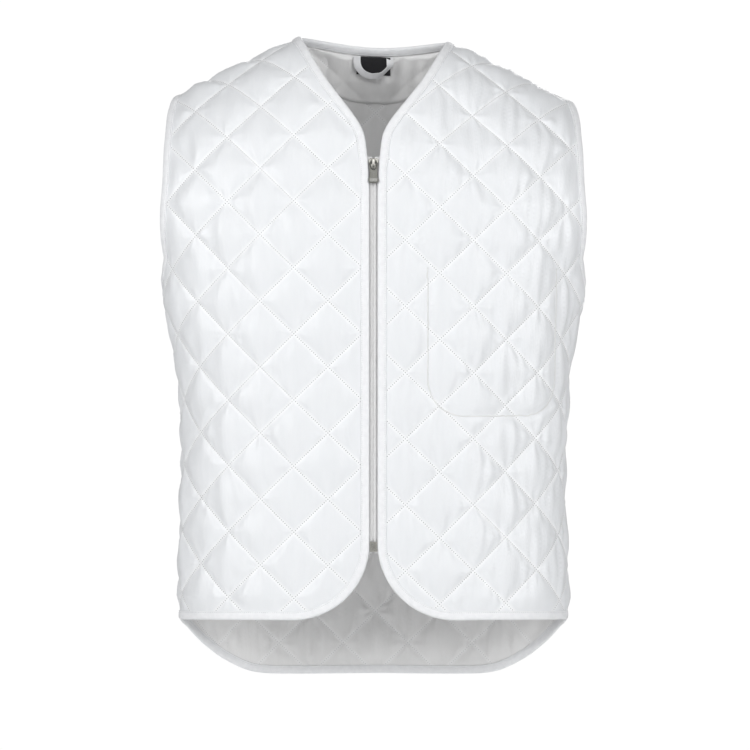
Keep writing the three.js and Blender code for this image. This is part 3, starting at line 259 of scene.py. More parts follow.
def drape(face, s, t, w):
    w = np.asarray(w, float)
    return form_point(face, s, t) + form_normal(face, s, t) * w[..., None]


def side_reach(face, t):
    t = np.atleast_1d(np.asarray(t, float))
    half_width, depth = section_at(face, t)
    return walk_section(half_width, depth, face["power"], np.zeros_like(t))[2]


def seam_top(face, s):
    s = np.abs(np.atleast_1d(np.asarray(s, float)))
    return climb_at(face, s, np.zeros_like(s))[0] - SEAM_GAP / 2


def catmull(points, closed, per=16):
    """A smooth line through the points, the same centripetal kind as in the solids."""
    points = np.asarray(points, float)
    count = len(points)
    out = []
    spans = count if closed else count - 1
    for k in range(spans):
        p1 = points[k]
        p2 = points[(k + 1) % count]
        p0 = points[(k - 1) % count] if closed or k > 0 else 2 * points[0] - points[1]
        p3 = points[(k + 2) % count] if closed or k + 2 < count else 2 * points[-1] - points[-2]
        d0 = max(np.dot(p1 - p0, p1 - p0) ** 0.25, 1e-4)
        d1 = max(np.dot(p2 - p1, p2 - p1) ** 0.25, 1e-4)
        d2 = max(np.dot(p3 - p2, p3 - p2) ** 0.25, 1e-4)
        m1 = ((p1 - p0) / d0 - (p2 - p0) / (d0 + d1) + (p2 - p1) / d1) * d1
        m2 = ((p2 - p1) / d1 - (p3 - p1) / (d1 + d2) + (p3 - p2) / d2) * d1
        for u in np.arange(per) / per:
            c2 = -3 * p1 + 3 * p2 - 2 * m1 - m2
            c3 = 2 * p1 - 2 * p2 + m1 + m2
            out.append(p1 + m1 * u + c2 * u * u + c3 * u ** 3)
    if not closed:
        out.append(points[-1])
    return np.array(out)


def spaced(line, step):
    gaps = np.linalg.norm(np.diff(line, axis=0), axis=1)
    ends = np.concatenate([[0], np.cumsum(gaps)])
    count = max(2, round(ends[-1] / step))
    at = np.linspace(0, ends[-1], count + 1)
    return np.stack([np.interp(at, ends, line[:, k]) for k in range(line.shape[1])], axis=1)


def march(face, start, targets, axes):
    """Flat places of seen points, each solved from the one before. axes: the two that are seen."""
    s, t = start
    places = []
    for target in targets:
        for _ in range(14):
            p = form_level(face, np.array([s, s + PROBE, s]), np.array([t, t, t - PROBE]))[:, axes] - target
            ds_a = (p[1] - p[0]) / PROBE
            dt_a = (p[0] - p[2]) / PROBE
            scale = ds_a[0] * dt_a[1] - dt_a[0] * ds_a[1]
            ds = (-p[0][0] * dt_a[1] + p[0][1] * dt_a[0]) / scale
            dt = (-p[0][1] * ds_a[0] + p[0][0] * ds_a[1]) / scale
            hold = min(1.0, 12.0 / max(math.hypot(ds, dt), 1e-9))
            s += ds * hold
            t += dt * hold
        places.append((s, t))
    return places


def form_level(face, s, t):
    fs = np.clip((np.abs(s) - GRID_S0) / GRID_STEP, 1, GRID_S_COUNT - 3)
    ft = np.clip((t - GRID_T0) / GRID_STEP, 1, GRID_T_COUNT - 3)
    i = np.floor(fs).astype(int)
    j = np.floor(ft).astype(int)
    ws = cubic_weights(fs - i)
    wt = cubic_weights(ft - j)
    out = np.zeros(s.shape + (3,))
    for a in range(4):
        for b in range(4):
            out += (ws[a] * wt[b])[..., None] * face["grid"][i + a - 1, j + b - 1]
    out[..., 0] *= np.where(s < 0, -1.0, 1.0)
    return out


UNDERARM_T = CHEST_DROP - UNDERARM_DROP
SIDE_HEM_T = CHEST_DROP - SIDE_HEM_DROP
FRONT_HEM_T = CHEST_DROP - FRONT_HEM_DROP
TAIL_T = CHEST_DROP - TAIL_DROP
CORNER_T = CHEST_DROP - CORNER_DROP
TIP_RISE = NECK_RISE - SHOULDER_FALL
FINE = 5.0


def armhole_places(face):
    front = face is FRONT
    rows = ARMHOLE_FRONT_ROWS if front else ARMHOLE_BACK_ROWS
    other = ARMHOLE_BACK_ROWS if front else ARMHOLE_FRONT_ROWS
    far = -ARMHOLE_FRONT_REACH if front else ARMHOLE_BACK_REACH
    other_far = ARMHOLE_BACK_REACH if front else -ARMHOLE_FRONT_REACH
    height = TIP_RISE + UNDERARM_DROP

    def seen(row, reach):
        return (SHOULDER_SEAM_BACK * row[0] + reach * row[1], row[0] * height - UNDERARM_DROP)

    loop = [(0, -UNDERARM_DROP)] + [seen(row, far) for row in rows]
    loop += [(SHOULDER_SEAM_BACK, TIP_RISE)] + [seen(row, other_far) for row in reversed(other)]
    fine = catmull(loop, True, 14)
    half = fine[: 14 * (len(rows) + 1) + 1]
    edge = spaced(half, FINE)[1:-1]
    start = (side_reach(face, UNDERARM_T)[0], UNDERARM_T)
    return march(face, start, edge, [1, 2])


def side_places(face):
    ts = np.linspace(SIDE_HEM_T, UNDERARM_T, 81)
    reach = side_reach(face, ts) - SEAM_GAP / 2
    out = [(s, t, "seam") for s, t in zip(reach[:-1], ts[:-1])]
    out.append((reach[-1], ts[-1], "armhole"))
    out += [(s, t, "armhole") for s, t in armhole_places(face)]
    ss = np.linspace(SHOULDER_HALF_WIDTH, NECK_HALF_WIDTH, 31)[:-1]
    out += [(s, t, "seam") for s, t in zip(ss, seam_top(face, ss))]
    return out


def front_outline():
    spread = NECK_HALF_WIDTH - EDGE_TOP
    fall = NECK_RISE + ZIP_TOP_DROP
    neck_line = catmull([(NECK_HALF_WIDTH - a * spread, NECK_RISE - b * fall) for a, b in NECK_ROWS], False)
    neck_point = (NECK_HALF_WIDTH, seam_top(FRONT, NECK_HALF_WIDTH)[0])
    neck = march(FRONT, neck_point, spaced(neck_line, FINE)[1:], [0, 2])
    zip_top = neck.pop()
    ts = np.linspace(zip_top[1], CORNER_T, 90)[:-1]
    share = (ts - CORNER_T) / (zip_top[1] - CORNER_T)
    edge = [(s, t) for s, t in zip(EDGE_BOTTOM + (EDGE_TOP - EDGE_BOTTOM) * share ** EDGE_CLOSING, ts)]
    turns = np.linspace(0, math.pi / 2, 33)[:-1]
    corner = [(EDGE_BOTTOM + CORNER_WIDE * (1 - math.cos(u)),
               CORNER_T - (CORNER_T - FRONT_HEM_T) * math.sin(u)) for u in turns]
    hem_start = EDGE_BOTTOM + CORNER_WIDE
    hem_end = side_reach(FRONT, SIDE_HEM_T)[0] - SEAM_GAP / 2
    parts = np.linspace(0, 1, 44)[:-1]
    hem = [(hem_start + (hem_end - hem_start) * p, FRONT_HEM_T + (SIDE_HEM_T - FRONT_HEM_T) * p * p)
           for p in parts]
    out = [(s, t, "edge") for s, t in corner + hem]
    out += side_places(FRONT)
    out += [(neck_point[0], neck_point[1], "edge")]
    out += [(s, t, "edge") for s, t in neck + edge]
    return out, zip_top[1]


def back_outline():
    hem_end = side_reach(BACK, SIDE_HEM_T)[0] - SEAM_GAP / 2
    ss = np.linspace(0, hem_end, 70)[:-1]
    falls = read_rows(TAIL_ROWS["out"], TAIL_ROWS["down"], ss / hem_end)
    tail = [(s, SIDE_HEM_T + (TAIL_T - SIDE_HEM_T) * f, "edge") for s, f in zip(ss, falls)]
    neck_point = (NECK_HALF_WIDTH, seam_top(BACK, NECK_HALF_WIDTH)[0])
    turn = np.linspace(0, math.pi / 2, 73)
    bowed = np.stack([NECK_HALF_WIDTH * np.cos(turn),
                      SHOULDER_SEAM_BACK + BACK_NECK_DEPTH * np.sin(turn) ** BACK_NECK_POWER], axis=1)
    neck = march(BACK, neck_point, spaced(bowed, 4.0)[1:], [0, 1])
    neck[-1] = (0.0, neck[-1][1])
    half = tail + side_places(BACK)
    half += [(neck_point[0], neck_point[1], "neck")] + [(s, t, "neck") for s, t in neck]
    flipped = list(reversed(half[1:-1]))
    mirrored = []
    for k, (s, t, _) in enumerate(flipped):
        before = flipped[k + 1][2] if k + 1 < len(flipped) else "edge"
        mirrored.append((-s, t, before))
    return half + mirrored


def refined_neck(outline):
    """The same outline with its bound neck line taken in even short steps."""
    first = next(i for i, p in enumerate(outline) if p[2] == "edge" and outline[i - 1][2] == "seam" and i > 200)
    line = catmull([(p[0], p[1]) for p in outline[first:first + 42]], False, 12)
    even = spaced(line, 4.0)
    return outline[:first] + [(s, t, "edge") for s, t in even[:-1]] + outline[first + 41:]


FRONT_OUTLINE, ZIP_TOP_T = front_outline()
FRONT_OUTLINE = refined_neck(FRONT_OUTLINE)
BACK_OUTLINE = back_outline()


# Cutting flat grids to an outline

def outline_distance(outline, points):
    """Distance inside the outline (negative outside) and the nearest place on it."""
    poly = np.array([(p[0], p[1]) for p in outline])
    after = np.roll(poly, -1, axis=0)
    along = after - poly
    square = (along ** 2).sum(axis=1)
    distance = np.empty(len(points))
    nearest = np.empty((len(points), 2))
    for start in range(0, len(points), 2000):
        p = points[start:start + 2000]
        rel = p[:, None, :] - poly[None]
        part = np.clip((rel * along).sum(axis=2) / square, 0, 1)
        foot = poly + along * part[..., None]
        gap = ((p[:, None, :] - foot) ** 2).sum(axis=2)
        best = gap.argmin(axis=1)
        rows = np.arange(len(p))
        up = (poly[:, 1] > p[:, 1:2]) != (after[:, 1] > p[:, 1:2])
        rise = np.where(np.abs(along[:, 1]) < 1e-9, 1e-9, along[:, 1])
        cross = p[:, 0:1] < along[:, 0] * (p[:, 1:2] - poly[:, 1]) / rise + poly[:, 0]
        inside = (up & cross).sum(axis=1) % 2 == 1
        distance[start:start + 2000] = np.sqrt(gap[rows, best]) * np.where(inside, 1, -1)
        nearest[start:start + 2000] = foot[rows, best]
    return distance, nearest


def cut_flat(points, triangles, outline, snap):
    """The part of a flat mesh inside an outline: its points, triangles and distances inside."""
    distance, nearest = outline_distance(outline, points)
    near = np.abs(distance) < snap
    points = np.where(near[:, None], nearest, points)
    distance = np.where(near, 0, distance)
    values = distance[triangles]
    centre = points[triangles].mean(axis=1)
    inside = (values > 0).any(axis=1)
    edge_only = (values == 0).all(axis=1)
    if edge_only.any():
        inside[edge_only] = outline_distance(outline, centre[edge_only])[0] > 0
    triangles = triangles[inside]
    values = values[inside]
    crossing = (values < 0).any(axis=1)
    kept = triangles[~crossing].tolist()
    points = points.tolist()
    distance = distance.tolist()
    made = {}

    def cut_point(i, j):
        key = (min(i, j), max(i, j))
        if key not in made:
            part = distance[i] / (distance[i] - distance[j])
            points.append([points[i][k] + (points[j][k] - points[i][k]) * part for k in (0, 1)])
            distance.append(0.0)
            made[key] = len(points) - 1
        return made[key]

    for tri in triangles[crossing].tolist():
        ring = []
        for k in range(3):
            i, j = tri[k], tri[(k + 1) % 3]
            if distance[i] >= 0:
                ring.append(i)
            if distance[i] * distance[j] < 0:
                ring.append(cut_point(i, j))
        kept += [[ring[0], ring[k], ring[k + 1]] for k in range(1, len(ring) - 1)]
    points = np.array(points)
    kept = np.array(kept)
    used = np.unique(kept)
    renumber = np.full(len(points), -1)
    renumber[used] = np.arange(len(used))
    points = points[used]
    distance = np.array(distance)[used]
    kept = renumber[kept]
    fresh = (distance == 0)
    if fresh.any():
        points[fresh] = outline_distance(outline, points[fresh])[1]
    return points, kept, distance


def rim_edges(triangles):
    """The directed edges that only one triangle has."""
    pairs = np.concatenate([triangles[:, [0, 1]], triangles[:, [1, 2]], triangles[:, [2, 0]]])
    keys = np.sort(pairs, axis=1)
    _, first, counts = np.unique(keys, axis=0, return_index=True, return_counts=True)
    return pairs[first[counts == 1]]


def grid_triangles(rows, columns):
    index = np.arange(rows * columns).reshape(rows, columns)
    a = index[:-1, :-1].ravel()
    b = index[1:, :-1].ravel()
    c = index[1:, 1:].ravel()
    d = index[:-1, 1:].ravel()
    flip = (np.add.outer(np.arange(rows - 1), np.arange(columns - 1)) % 2 == 0).ravel()
    one = np.where(flip[:, None], np.stack([a, b, c], 1), np.stack([a, b, d], 1))
    two = np.where(flip[:, None], np.stack([a, c, d], 1), np.stack([b, c, d], 1))
    return np.concatenate([one, two])


def make_object(name, points, faces, material, body="gilet", smooth=True, flat=None, maps=None):
    """A mesh from points in millimetres. flat: a place on the cloth for each point, kept as a UV map."""
    mesh = bpy.data.meshes.new(name)
    if isinstance(faces, np.ndarray):
        faces = faces.tolist()
    mesh.from_pydata((np.asarray(points) * MM).tolist(), [], faces)
    mesh.materials.append(material)
    if smooth:
        mesh.polygons.foreach_set("use_smooth", [True] * len(mesh.polygons))
    corner = np.empty(len(mesh.loops), dtype=int)
    mesh.loops.foreach_get("vertex_index", corner)
    for label, values in (maps or {}).items():
        layer = mesh.uv_layers.new(name=label)
        layer.data.foreach_set("uv", np.asarray(values)[corner].ravel())
    if flat is not None:
        layer = mesh.uv_layers.new(name="flat")
        layer.data.foreach_set("uv", (np.asarray(flat) * MM)[corner].ravel())
    mesh.update()
    obj = bpy.data.objects.new(name, mesh)
    bpy.context.scene.collection.objects.link(obj)
    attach(obj, body)
    return obj


# Quilted pieces

CELLS = 20
BACK_CELLS = 18
STITCH_HALF = 0.9
CROSSING_DIP = 0.15
PUFF_OUT = 4.6
PUFF_IN = 1.8
EDGE_CALM = 22.0
SEAM_CALM = 13.0
BINDING_WIDTH = 8.5

POCKET_LEFT = 63.0
POCKET_WIDE = 160.0
POCKET_TOP_T = CHEST_DROP - 239.0
POCKET_TALL = 173.0
POCKET_CORNER = 42.0


def smooth_step(x):
    x = np.clip(x, 0, 1)
    return x * x * (3 - 2 * x)


def pocket_outline():
    foot = POCKET_TOP_T - POCKET_TALL
    right = POCKET_LEFT + POCKET_WIDE
    turn = np.linspace(0, math.pi / 2, 9)
    left_bend = [(POCKET_LEFT + POCKET_CORNER * (1 - math.cos(u)), foot + POCKET_CORNER * (1 - math.sin(u)))
                 for u in turn]
    right_bend = [(POCKET_LEFT + right - s, t) for s, t in reversed(left_bend)]
    return [(POCKET_LEFT, POCKET_TOP_T)] + left_bend + right_bend + [(right, POCKET_TOP_T)]


def line_distance(points, line):
    """The distance to an open or closed run of straight stretches."""
    a = np.asarray(line[:-1])
    b = np.asarray(line[1:])
    along = b - a
    square = (along ** 2).sum(axis=1)
    out = np.empty(len(points))
    for start in range(0, len(points), 4000):
        p = points[start:start + 4000]
        rel = p[:, None, :] - a[None]
        part = np.clip((rel * along).sum(axis=2) / square, 0, 1)
        foot = a + along * part[..., None]
        out[start:start + 4000] = np.sqrt(((p[:, None, :] - foot) ** 2).sum(axis=2).min(axis=1))
    return out


def graded(count):
    """Cell places from one stitch line to the next, closer together beside the lines."""
    u = np.arange(count) / count
    return u - 0.09 * np.sin(2 * math.pi * u)


def lattice_of(quilt, flat):
    s0, t0 = quilt
    x = (flat[:, 0] - s0) / QUILT_WIDE
    y = (flat[:, 1] - t0) / QUILT_TALL
    return x + y, x - y


def flat_of(quilt, a, b):
    s0, t0 = quilt
    return s0 + (a + b) * QUILT_WIDE / 2, t0 + (a - b) * QUILT_TALL / 2


def soft_noise(x, y, seed, octaves=3):
    """Smooth seeded waves that never repeat over the cloth."""
    rng = np.random.default_rng(seed)
    total = np.zeros_like(x)
    for k in range(octaves * 5):
        size = 0.55 + 1.1 * rng.random()
        angle = rng.random() * 2 * math.pi
        phase = rng.random() * 2 * math.pi
        total += np.sin((x * math.cos(angle) + y * math.sin(angle)) * size * 2 * math.pi + phase)
    return total / math.sqrt(octaves * 2.5)


def puff_shape(a, b):
    """Height of a plain filled diamond, 0 on the stitch lines and 1 in its middle."""
    u = a - np.floor(a)
    v = b - np.floor(b)
    return (np.clip(4 * u * (1 - u), 0, 1) ** 0.62) * (np.clip(4 * v * (1 - v), 0, 1) ** 0.62)


def pucker(flat, a, b, seed):
    """Small creases: upright ones that start at the stitch lines, and stars round the crossings."""
    near_a = 0.5 - np.abs(a - np.floor(a) - 0.5)
    near_b = 0.5 - np.abs(b - np.floor(b) - 0.5)
    near = np.minimum(near_a, near_b)
    fade = np.exp(-((near / 0.17) ** 2)) * np.clip(near / 0.035, 0, 1)
    s = flat[:, 0]
    t = flat[:, 1]
    waves = soft_noise(s / 11.0, t / 46.0, seed, 3)
    wide = soft_noise(s / 21.0, t / 80.0, seed + 5, 2)
    cross_a = np.round(a)
    cross_b = np.round(b)
    along = ((a - cross_a) + (b - cross_b)) * QUILT_WIDE / 2
    up = ((a - cross_a) - (b - cross_b)) * QUILT_TALL / 2
    reach = np.hypot(along, up)
    picked = (cross_a * 31 + cross_b * 57 + seed * 13) % 17
    points = 5 + picked % 5
    star = np.sin(points * np.arctan2(up, along) + picked * 1.7) * np.exp(-((reach / 17) ** 2))
    star = star * smooth_step(reach / 12) * smooth_step(near / 0.12) * (0.5 + 0.5 * np.sin(picked * 2.3) ** 2)
    return 0.36 * fade * waves + 0.55 * wide * smooth_step(near / 0.2) + 0.95 * star


def ripple(flat, seed, top):
    """Slow waves of the whole hanging cloth, mostly upright, gone above the height top."""
    waves = soft_noise(flat[:, 0] / 120.0, flat[:, 1] / 330.0, seed + 70, 2)
    return 1.3 * waves * smooth_step((top - flat[:, 1]) / 90)


# Padded diamonds: a patch of cloth sewn down along its stitch lines and blown up, by simulation

PATCH = 4
SIM_FRAMES = 36
SIM_SCALE = 10.0
CLOTH_GROWTH = 0.036


def simulated_patch():
    """Shifts of every point of PATCH x PATCH sewn diamonds, in millimetres: s, t and height."""
    steps = graded(CELLS)
    places = np.concatenate([k + steps for k in range(PATCH)] + [[float(PATCH)]])
    grid_a, grid_b = np.meshgrid(places, places, indexing="ij")
    s, t = flat_of((0.0, 0.0), grid_a.ravel(), grid_b.ravel())
    on_line = (np.abs(grid_a - np.round(grid_a)) < 1e-6) | (np.abs(grid_b - np.round(grid_b)) < 1e-6)
    on_line = on_line.ravel()
    lift = 1.5 * puff_shape(grid_a.ravel(), grid_b.ravel()) * (1 + 0.35 * soft_noise(s / 14.0, t / 34.0, 43, 3))
    start = np.stack([s, t, np.where(on_line, 0.0, lift)], axis=1)
    count = len(places)
    index = np.arange(count * count).reshape(count, count)
    quads = np.stack([index[:-1, :-1], index[1:, :-1], index[1:, 1:], index[:-1, 1:]], axis=-1).reshape(-1, 4)
    mesh = bpy.data.meshes.new("sewn_patch")
    scale = MM * SIM_SCALE
    mesh.from_pydata((start * scale).tolist(), [], quads[:, ::-1].tolist())
    mesh.update()
    patch = bpy.data.objects.new("sewn_patch", mesh)
    bpy.context.scene.collection.objects.link(patch)
    sewn = patch.vertex_groups.new(name="sewn")
    sewn.add(np.nonzero(on_line)[0].tolist(), 1.0, "REPLACE")
    cloth = patch.modifiers.new("cloth", "CLOTH")
    settings = cloth.settings
    settings.quality = 10
    settings.mass = 0.3
    settings.tension_stiffness = 18
    settings.compression_stiffness = 12
    settings.shear_stiffness = 6
    settings.bending_model = "LINEAR"
    settings.bending_stiffness = 0.12
    settings.tension_damping = 12
    settings.compression_damping = 12
    settings.shear_damping = 8
    settings.bending_damping = 0.5
    settings.air_damping = 1
    settings.vertex_group_mass = "sewn"
    settings.shrink_min = -CLOTH_GROWTH
    settings.shrink_max = -CLOTH_GROWTH
    settings.use_pressure = True
    settings.uniform_pressure_force = 3.5
    settings.effector_weights.gravity = 0
    cloth.collision_settings.use_collision = False
    cloth.point_cache.frame_start = 1
    cloth.point_cache.frame_end = SIM_FRAMES
    scene = bpy.context.scene
    for frame_number in range(1, SIM_FRAMES + 1):
        scene.frame_set(frame_number)
    shaped = patch.evaluated_get(bpy.context.evaluated_depsgraph_get()).to_mesh()
    found = np.empty(len(s) * 3)
    shaped.vertices.foreach_get("co", found)
    found = found.reshape(-1, 3) / scale
    bpy.data.objects.remove(patch)
    bpy.data.meshes.remove(mesh)
    scene.frame_set(1)
    shift = (found - np.stack([s, t, np.zeros_like(s)], axis=1)).reshape(count, count, 3)
    loose = ~on_line.reshape(count, count)[1:-1, 1:-1, None]
    for _ in range(3):
        around = (shift[:-2, 1:-1] + shift[2:, 1:-1] + shift[1:-1, :-2] + shift[1:-1, 2:]) / 4
        shift[1:-1, 1:-1] += np.where(loose, 0.5 * (around - shift[1:-1, 1:-1]), 0)
    return shift


PATCH_SHIFT = simulated_patch()


def filled_shape(a, b, seed):
    """Height of each padded diamond, 1 in its middle: a simulated one picked for it, or a plain one."""
    cell_a = np.floor(a).astype(int)
    cell_b = np.floor(b).astype(int)
    mixed = (cell_a * 73 + cell_b * 151 + seed * 37) % 101
    fullness = 0.84 + 0.3 * ((mixed * 29) % 101) / 101
    if PATCH_SHIFT is None:
        return puff_shape(a, b) * fullness
    heights = PATCH_SHIFT[..., 2] / PATCH_SHIFT[CELLS // 2::CELLS, CELLS // 2::CELLS, 2].mean()
    places = np.concatenate([graded(CELLS), [1.0]])
    u = np.interp(a - cell_a, places, np.arange(CELLS + 1))
    v = np.interp(b - cell_b, places, np.arange(CELLS + 1))
    turned = (mixed % 2 == 0)
    u, v = np.where(turned, CELLS - u, u), np.where(turned, CELLS - v, v)
    i = np.minimum(u.astype(int), CELLS - 1)
    j = np.minimum(v.astype(int), CELLS - 1)
    x = u - i
    y = v - j
    i = i + CELLS * (mixed % PATCH)
    j = j + CELLS * ((mixed // PATCH) % PATCH)
    low = heights[i, j] * (1 - x) + heights[i + 1, j] * x
    high = heights[i, j + 1] * (1 - x) + heights[i + 1, j + 1] * x
    return (low * (1 - y) + high * y) * fullness


def quilted_piece(name, outline, face, side, quilt, material, seed, pocket=False):
    poly = np.array([(p[0], p[1]) for p in outline])
    corners = np.array([[poly[:, 0].min(), poly[:, 1].min()], [poly[:, 0].min(), poly[:, 1].max()],
                        [poly[:, 0].max(), poly[:, 1].min()], [poly[:, 0].max(), poly[:, 1].max()]])
    a, b = lattice_of(quilt, corners)
    steps = graded(CELLS if face is FRONT else BACK_CELLS)
    a_values = np.concatenate([k + steps for k in range(math.floor(a.min()), math.ceil(a.max()) + 1)])
    b_values = np.concatenate([k + steps for k in range(math.floor(b.min()), math.ceil(b.max()) + 1)])
    grid_a, grid_b = np.meshgrid(a_values, b_values, indexing="ij")
    s, t = flat_of(quilt, grid_a.ravel(), grid_b.ravel())
    points = np.stack([s, t], axis=1)
    triangles = grid_triangles(len(a_values), len(b_values))
    near = ((points >= poly.min(axis=0) - 6) & (points <= poly.max(axis=0) + 6)).all(axis=1)
    triangles = triangles[near[triangles].all(axis=1)]
    used = np.unique(triangles)
    renumber = np.full(len(points), -1)
    renumber[used] = np.arange(len(used))
    flat, triangles, inside = cut_flat(points[used], renumber[triangles], outline, 0.9)
    spans = flat[triangles]
    turn = np.cross(spans[:, 1] - spans[:, 0], spans[:, 2] - spans[:, 0])
    triangles[turn < 0] = triangles[turn < 0][:, ::-1]
    a, b = lattice_of(quilt, flat)
    to_seam = np.min([line_distance(flat, line) for line in edge_lines(outline, ("seam",))], axis=0)
    to_bound = [line_distance(flat, line) for line in edge_lines(outline, ("edge", "neck", "armhole"))]
    bound = np.min(to_bound, axis=0)
    calm = smooth_step((bound - 5.5) / EDGE_CALM) ** 0.8 * smooth_step(to_seam / SEAM_CALM) ** 0.6
    shape = filled_shape(a, b, seed)
    rumple = pucker(flat, a, b, seed) * (1.35 if pocket else 1.0)
    if pocket:
        to_pocket = line_distance(flat, pocket_outline())
        shape = shape * (1 - 0.85 * np.exp(-((to_pocket / 5.0) ** 2)))
        rumple = rumple * (1 - np.exp(-((to_pocket / 6.0) ** 2)))
    sway = ripple(flat, seed, 150.0 if face is BACK else 230.0) * smooth_step(bound / 55) * smooth_step(to_seam / 45)
    creased = pucker(flat, a, b, seed + 50) * (0.7 + 0.75 * smooth_step((-330 - flat[:, 1]) / 40))
    crossing = np.exp(-((np.abs(a - np.round(a)) + np.abs(b - np.round(b))) / 0.05) ** 2)
    slim = 0.55 + 0.45 * smooth_step(np.minimum(to_seam, bound + 4) / 6)
    outer = STITCH_HALF * slim + calm * (PUFF_OUT * shape + rumple) - CROSSING_DIP * crossing
    inner = -(STITCH_HALF * slim + calm * (PUFF_IN * shape + creased)) + CROSSING_DIP * crossing
    sided = flat * np.array([side, 1.0])
    upper = drape(face, sided[:, 0], sided[:, 1], outer + sway)
    lower = drape(face, sided[:, 0], sided[:, 1], inner + sway)
    count = len(flat)
    rim = rim_edges(triangles)
    quads = np.stack([rim[:, 1], rim[:, 0], rim[:, 0] + count, rim[:, 1] + count], axis=1)
    faces = triangles.tolist() + (triangles[:, ::-1] + count).tolist() + quads.tolist()
    points = np.concatenate([upper, lower])
    flip = side < 0
    if face is BACK:
        flip = not flip
    if flip:
        faces = [f[::-1] for f in faces]
    both = np.concatenate([flat, flat])
    lattice = np.concatenate([np.stack([a, b], 1)] * 2)
    obj = make_object(name, points, faces, material, flat=both, maps={"lattice": lattice})
    obj.data.materials.append(QUILT_LINING)
    inside_faces = np.zeros(len(faces), dtype=int)
    inside_faces[len(triangles):2 * len(triangles)] = 1
    obj.data.polygons.foreach_set("material_index", inside_faces)
    return obj, flat, inside


def edge_lines(outline, kinds):
    count = len(outline)
    start = next(i for i in range(count) if outline[i][2] in kinds and outline[i - 1][2] not in kinds)
    lines = []
    line = []
    for step in range(count + 1):
        place = outline[(start + step) % count]
        line.append((place[0], place[1]))
        if place[2] not in kinds or step == count:
            if len(line) > 1:
                lines.append(line)
            line = []
    return lines


# Bindings: a folded tape swept round the edges

def with_inward(outline):
    count = len(outline)
    places = []
    for i, (s, t, edge) in enumerate(outline):
        before = outline[i - 1]
        after = outline[(i + 1) % count]
        seam_before = before[2] == "seam"
        seam_after = edge == "seam"
        if seam_before and not seam_after:
            inward = np.array([before[0] - s, before[1] - t])
        elif seam_after and not seam_before:
            inward = np.array([after[0] - s, after[1] - t])
        else:
            inward = np.array([-(after[1] - before[1]), after[0] - before[0]])
        inward /= np.linalg.norm(inward)
        places.append({"s": s, "t": t, "edge": edge, "inward": inward})
    return places


def stretch_of(outline, edge, face, side):
    places = with_inward(outline)
    count = len(places)
    first = next(i for i in range(count) if places[i]["edge"] == edge and places[i - 1]["edge"] != edge)
    found = []
    i = first
    while places[i % count]["edge"] == edge:
        found.append(places[i % count])
        i += 1
    found.append(places[i % count])
    return [dict(p, face=face, side=side) for p in found]


def left_armhole(outline):
    places = with_inward(outline)
    first = next(i for i in range(len(places)) if places[i]["edge"] == "armhole" and places[i - 1]["edge"] == "seam")
    found = []
    while places[first]["edge"] == "armhole":
        found.append(places[first])
        first += 1
    found.append(places[first])
    return [dict(p, face=BACK, side=1) for p in found]


def edge_loop():
    left = stretch_of(FRONT_OUTLINE, "edge", FRONT, 1)
    right = stretch_of(FRONT_OUTLINE, "edge", FRONT, -1)[::-1]
    tail = stretch_of(BACK_OUTLINE, "edge", BACK, 1)[1:-1][::-1]
    neck = stretch_of(BACK_OUTLINE, "neck", BACK, 1)[1:-1][::-1]
    return left + tail + right + neck


def armhole_loop(side):
    front_half = stretch_of(FRONT_OUTLINE, "armhole", FRONT, side)
    back_half = left_armhole(BACK_OUTLINE)[1:-1][::-1]
    return front_half + [dict(p, side=side) for p in back_half]


def even_loop(loop, step):
    """Points, inward directions and outward normals round a closed edge, at even small steps."""
    rows = []
    for p in loop:
        face, side = p["face"], p["side"]
        s = side * p["s"]
        edge = form_point(face, s, p["t"])
        normal = form_normal(face, s, p["t"])
        deep = [drape(face, side * (p["s"] + p["inward"][0] * d), p["t"] + p["inward"][1] * d, 0.0)
                for d in (4.5, 9.0)]
        deep_normal = form_normal(face, side * (p["s"] + p["inward"][0] * 9.0), p["t"] + p["inward"][1] * 9.0)
        rows.append(np.concatenate([edge, normal, deep[0], deep[1], deep_normal]))
    rows = np.array(rows)
    closed = np.vstack([rows, rows[:1]])
    gaps = np.linalg.norm(np.diff(closed[:, :3], axis=0), axis=1)
    ends = np.concatenate([[0], np.cumsum(gaps)])
    count = round(ends[-1] / step)
    at = np.arange(count) * ends[-1] / count
    even = np.stack([np.interp(at, ends, closed[:, k]) for k in range(closed.shape[1])], axis=1)
    return even, at


# into: distance into the cloth from its edge, w: height. The outside runs from the cloth over the fold.
BINDING_PROFILE = (
    (8.5, 1.0), (8.6, 1.5), (8.4, 2.05), (7.9, 2.35), (7.35, 2.2), (7.1, 1.95), (6.85, 2.2), (6.2, 2.5),
    (4.8, 2.62), (3.0, 2.66), (1.2, 2.55), (-0.2, 2.15), (-1.2, 1.35), (-1.6, 0.45),
    (-1.6, -0.45), (-1.2, -1.35), (-0.2, -2.15), (1.2, -2.5), (3.0, -2.58), (4.8, -2.52), (6.2, -2.4),
    (6.85, -2.15), (7.1, -1.95), (7.35, -2.15), (7.9, -2.3), (8.4, -2.0), (8.6, -1.5), (8.5, -1.0),
    (5.0, -1.15), (0.2, -1.1), (-0.5, 0.0), (0.2, 1.1), (5.0, 1.15),
)
BINDING_STEP = 3.2


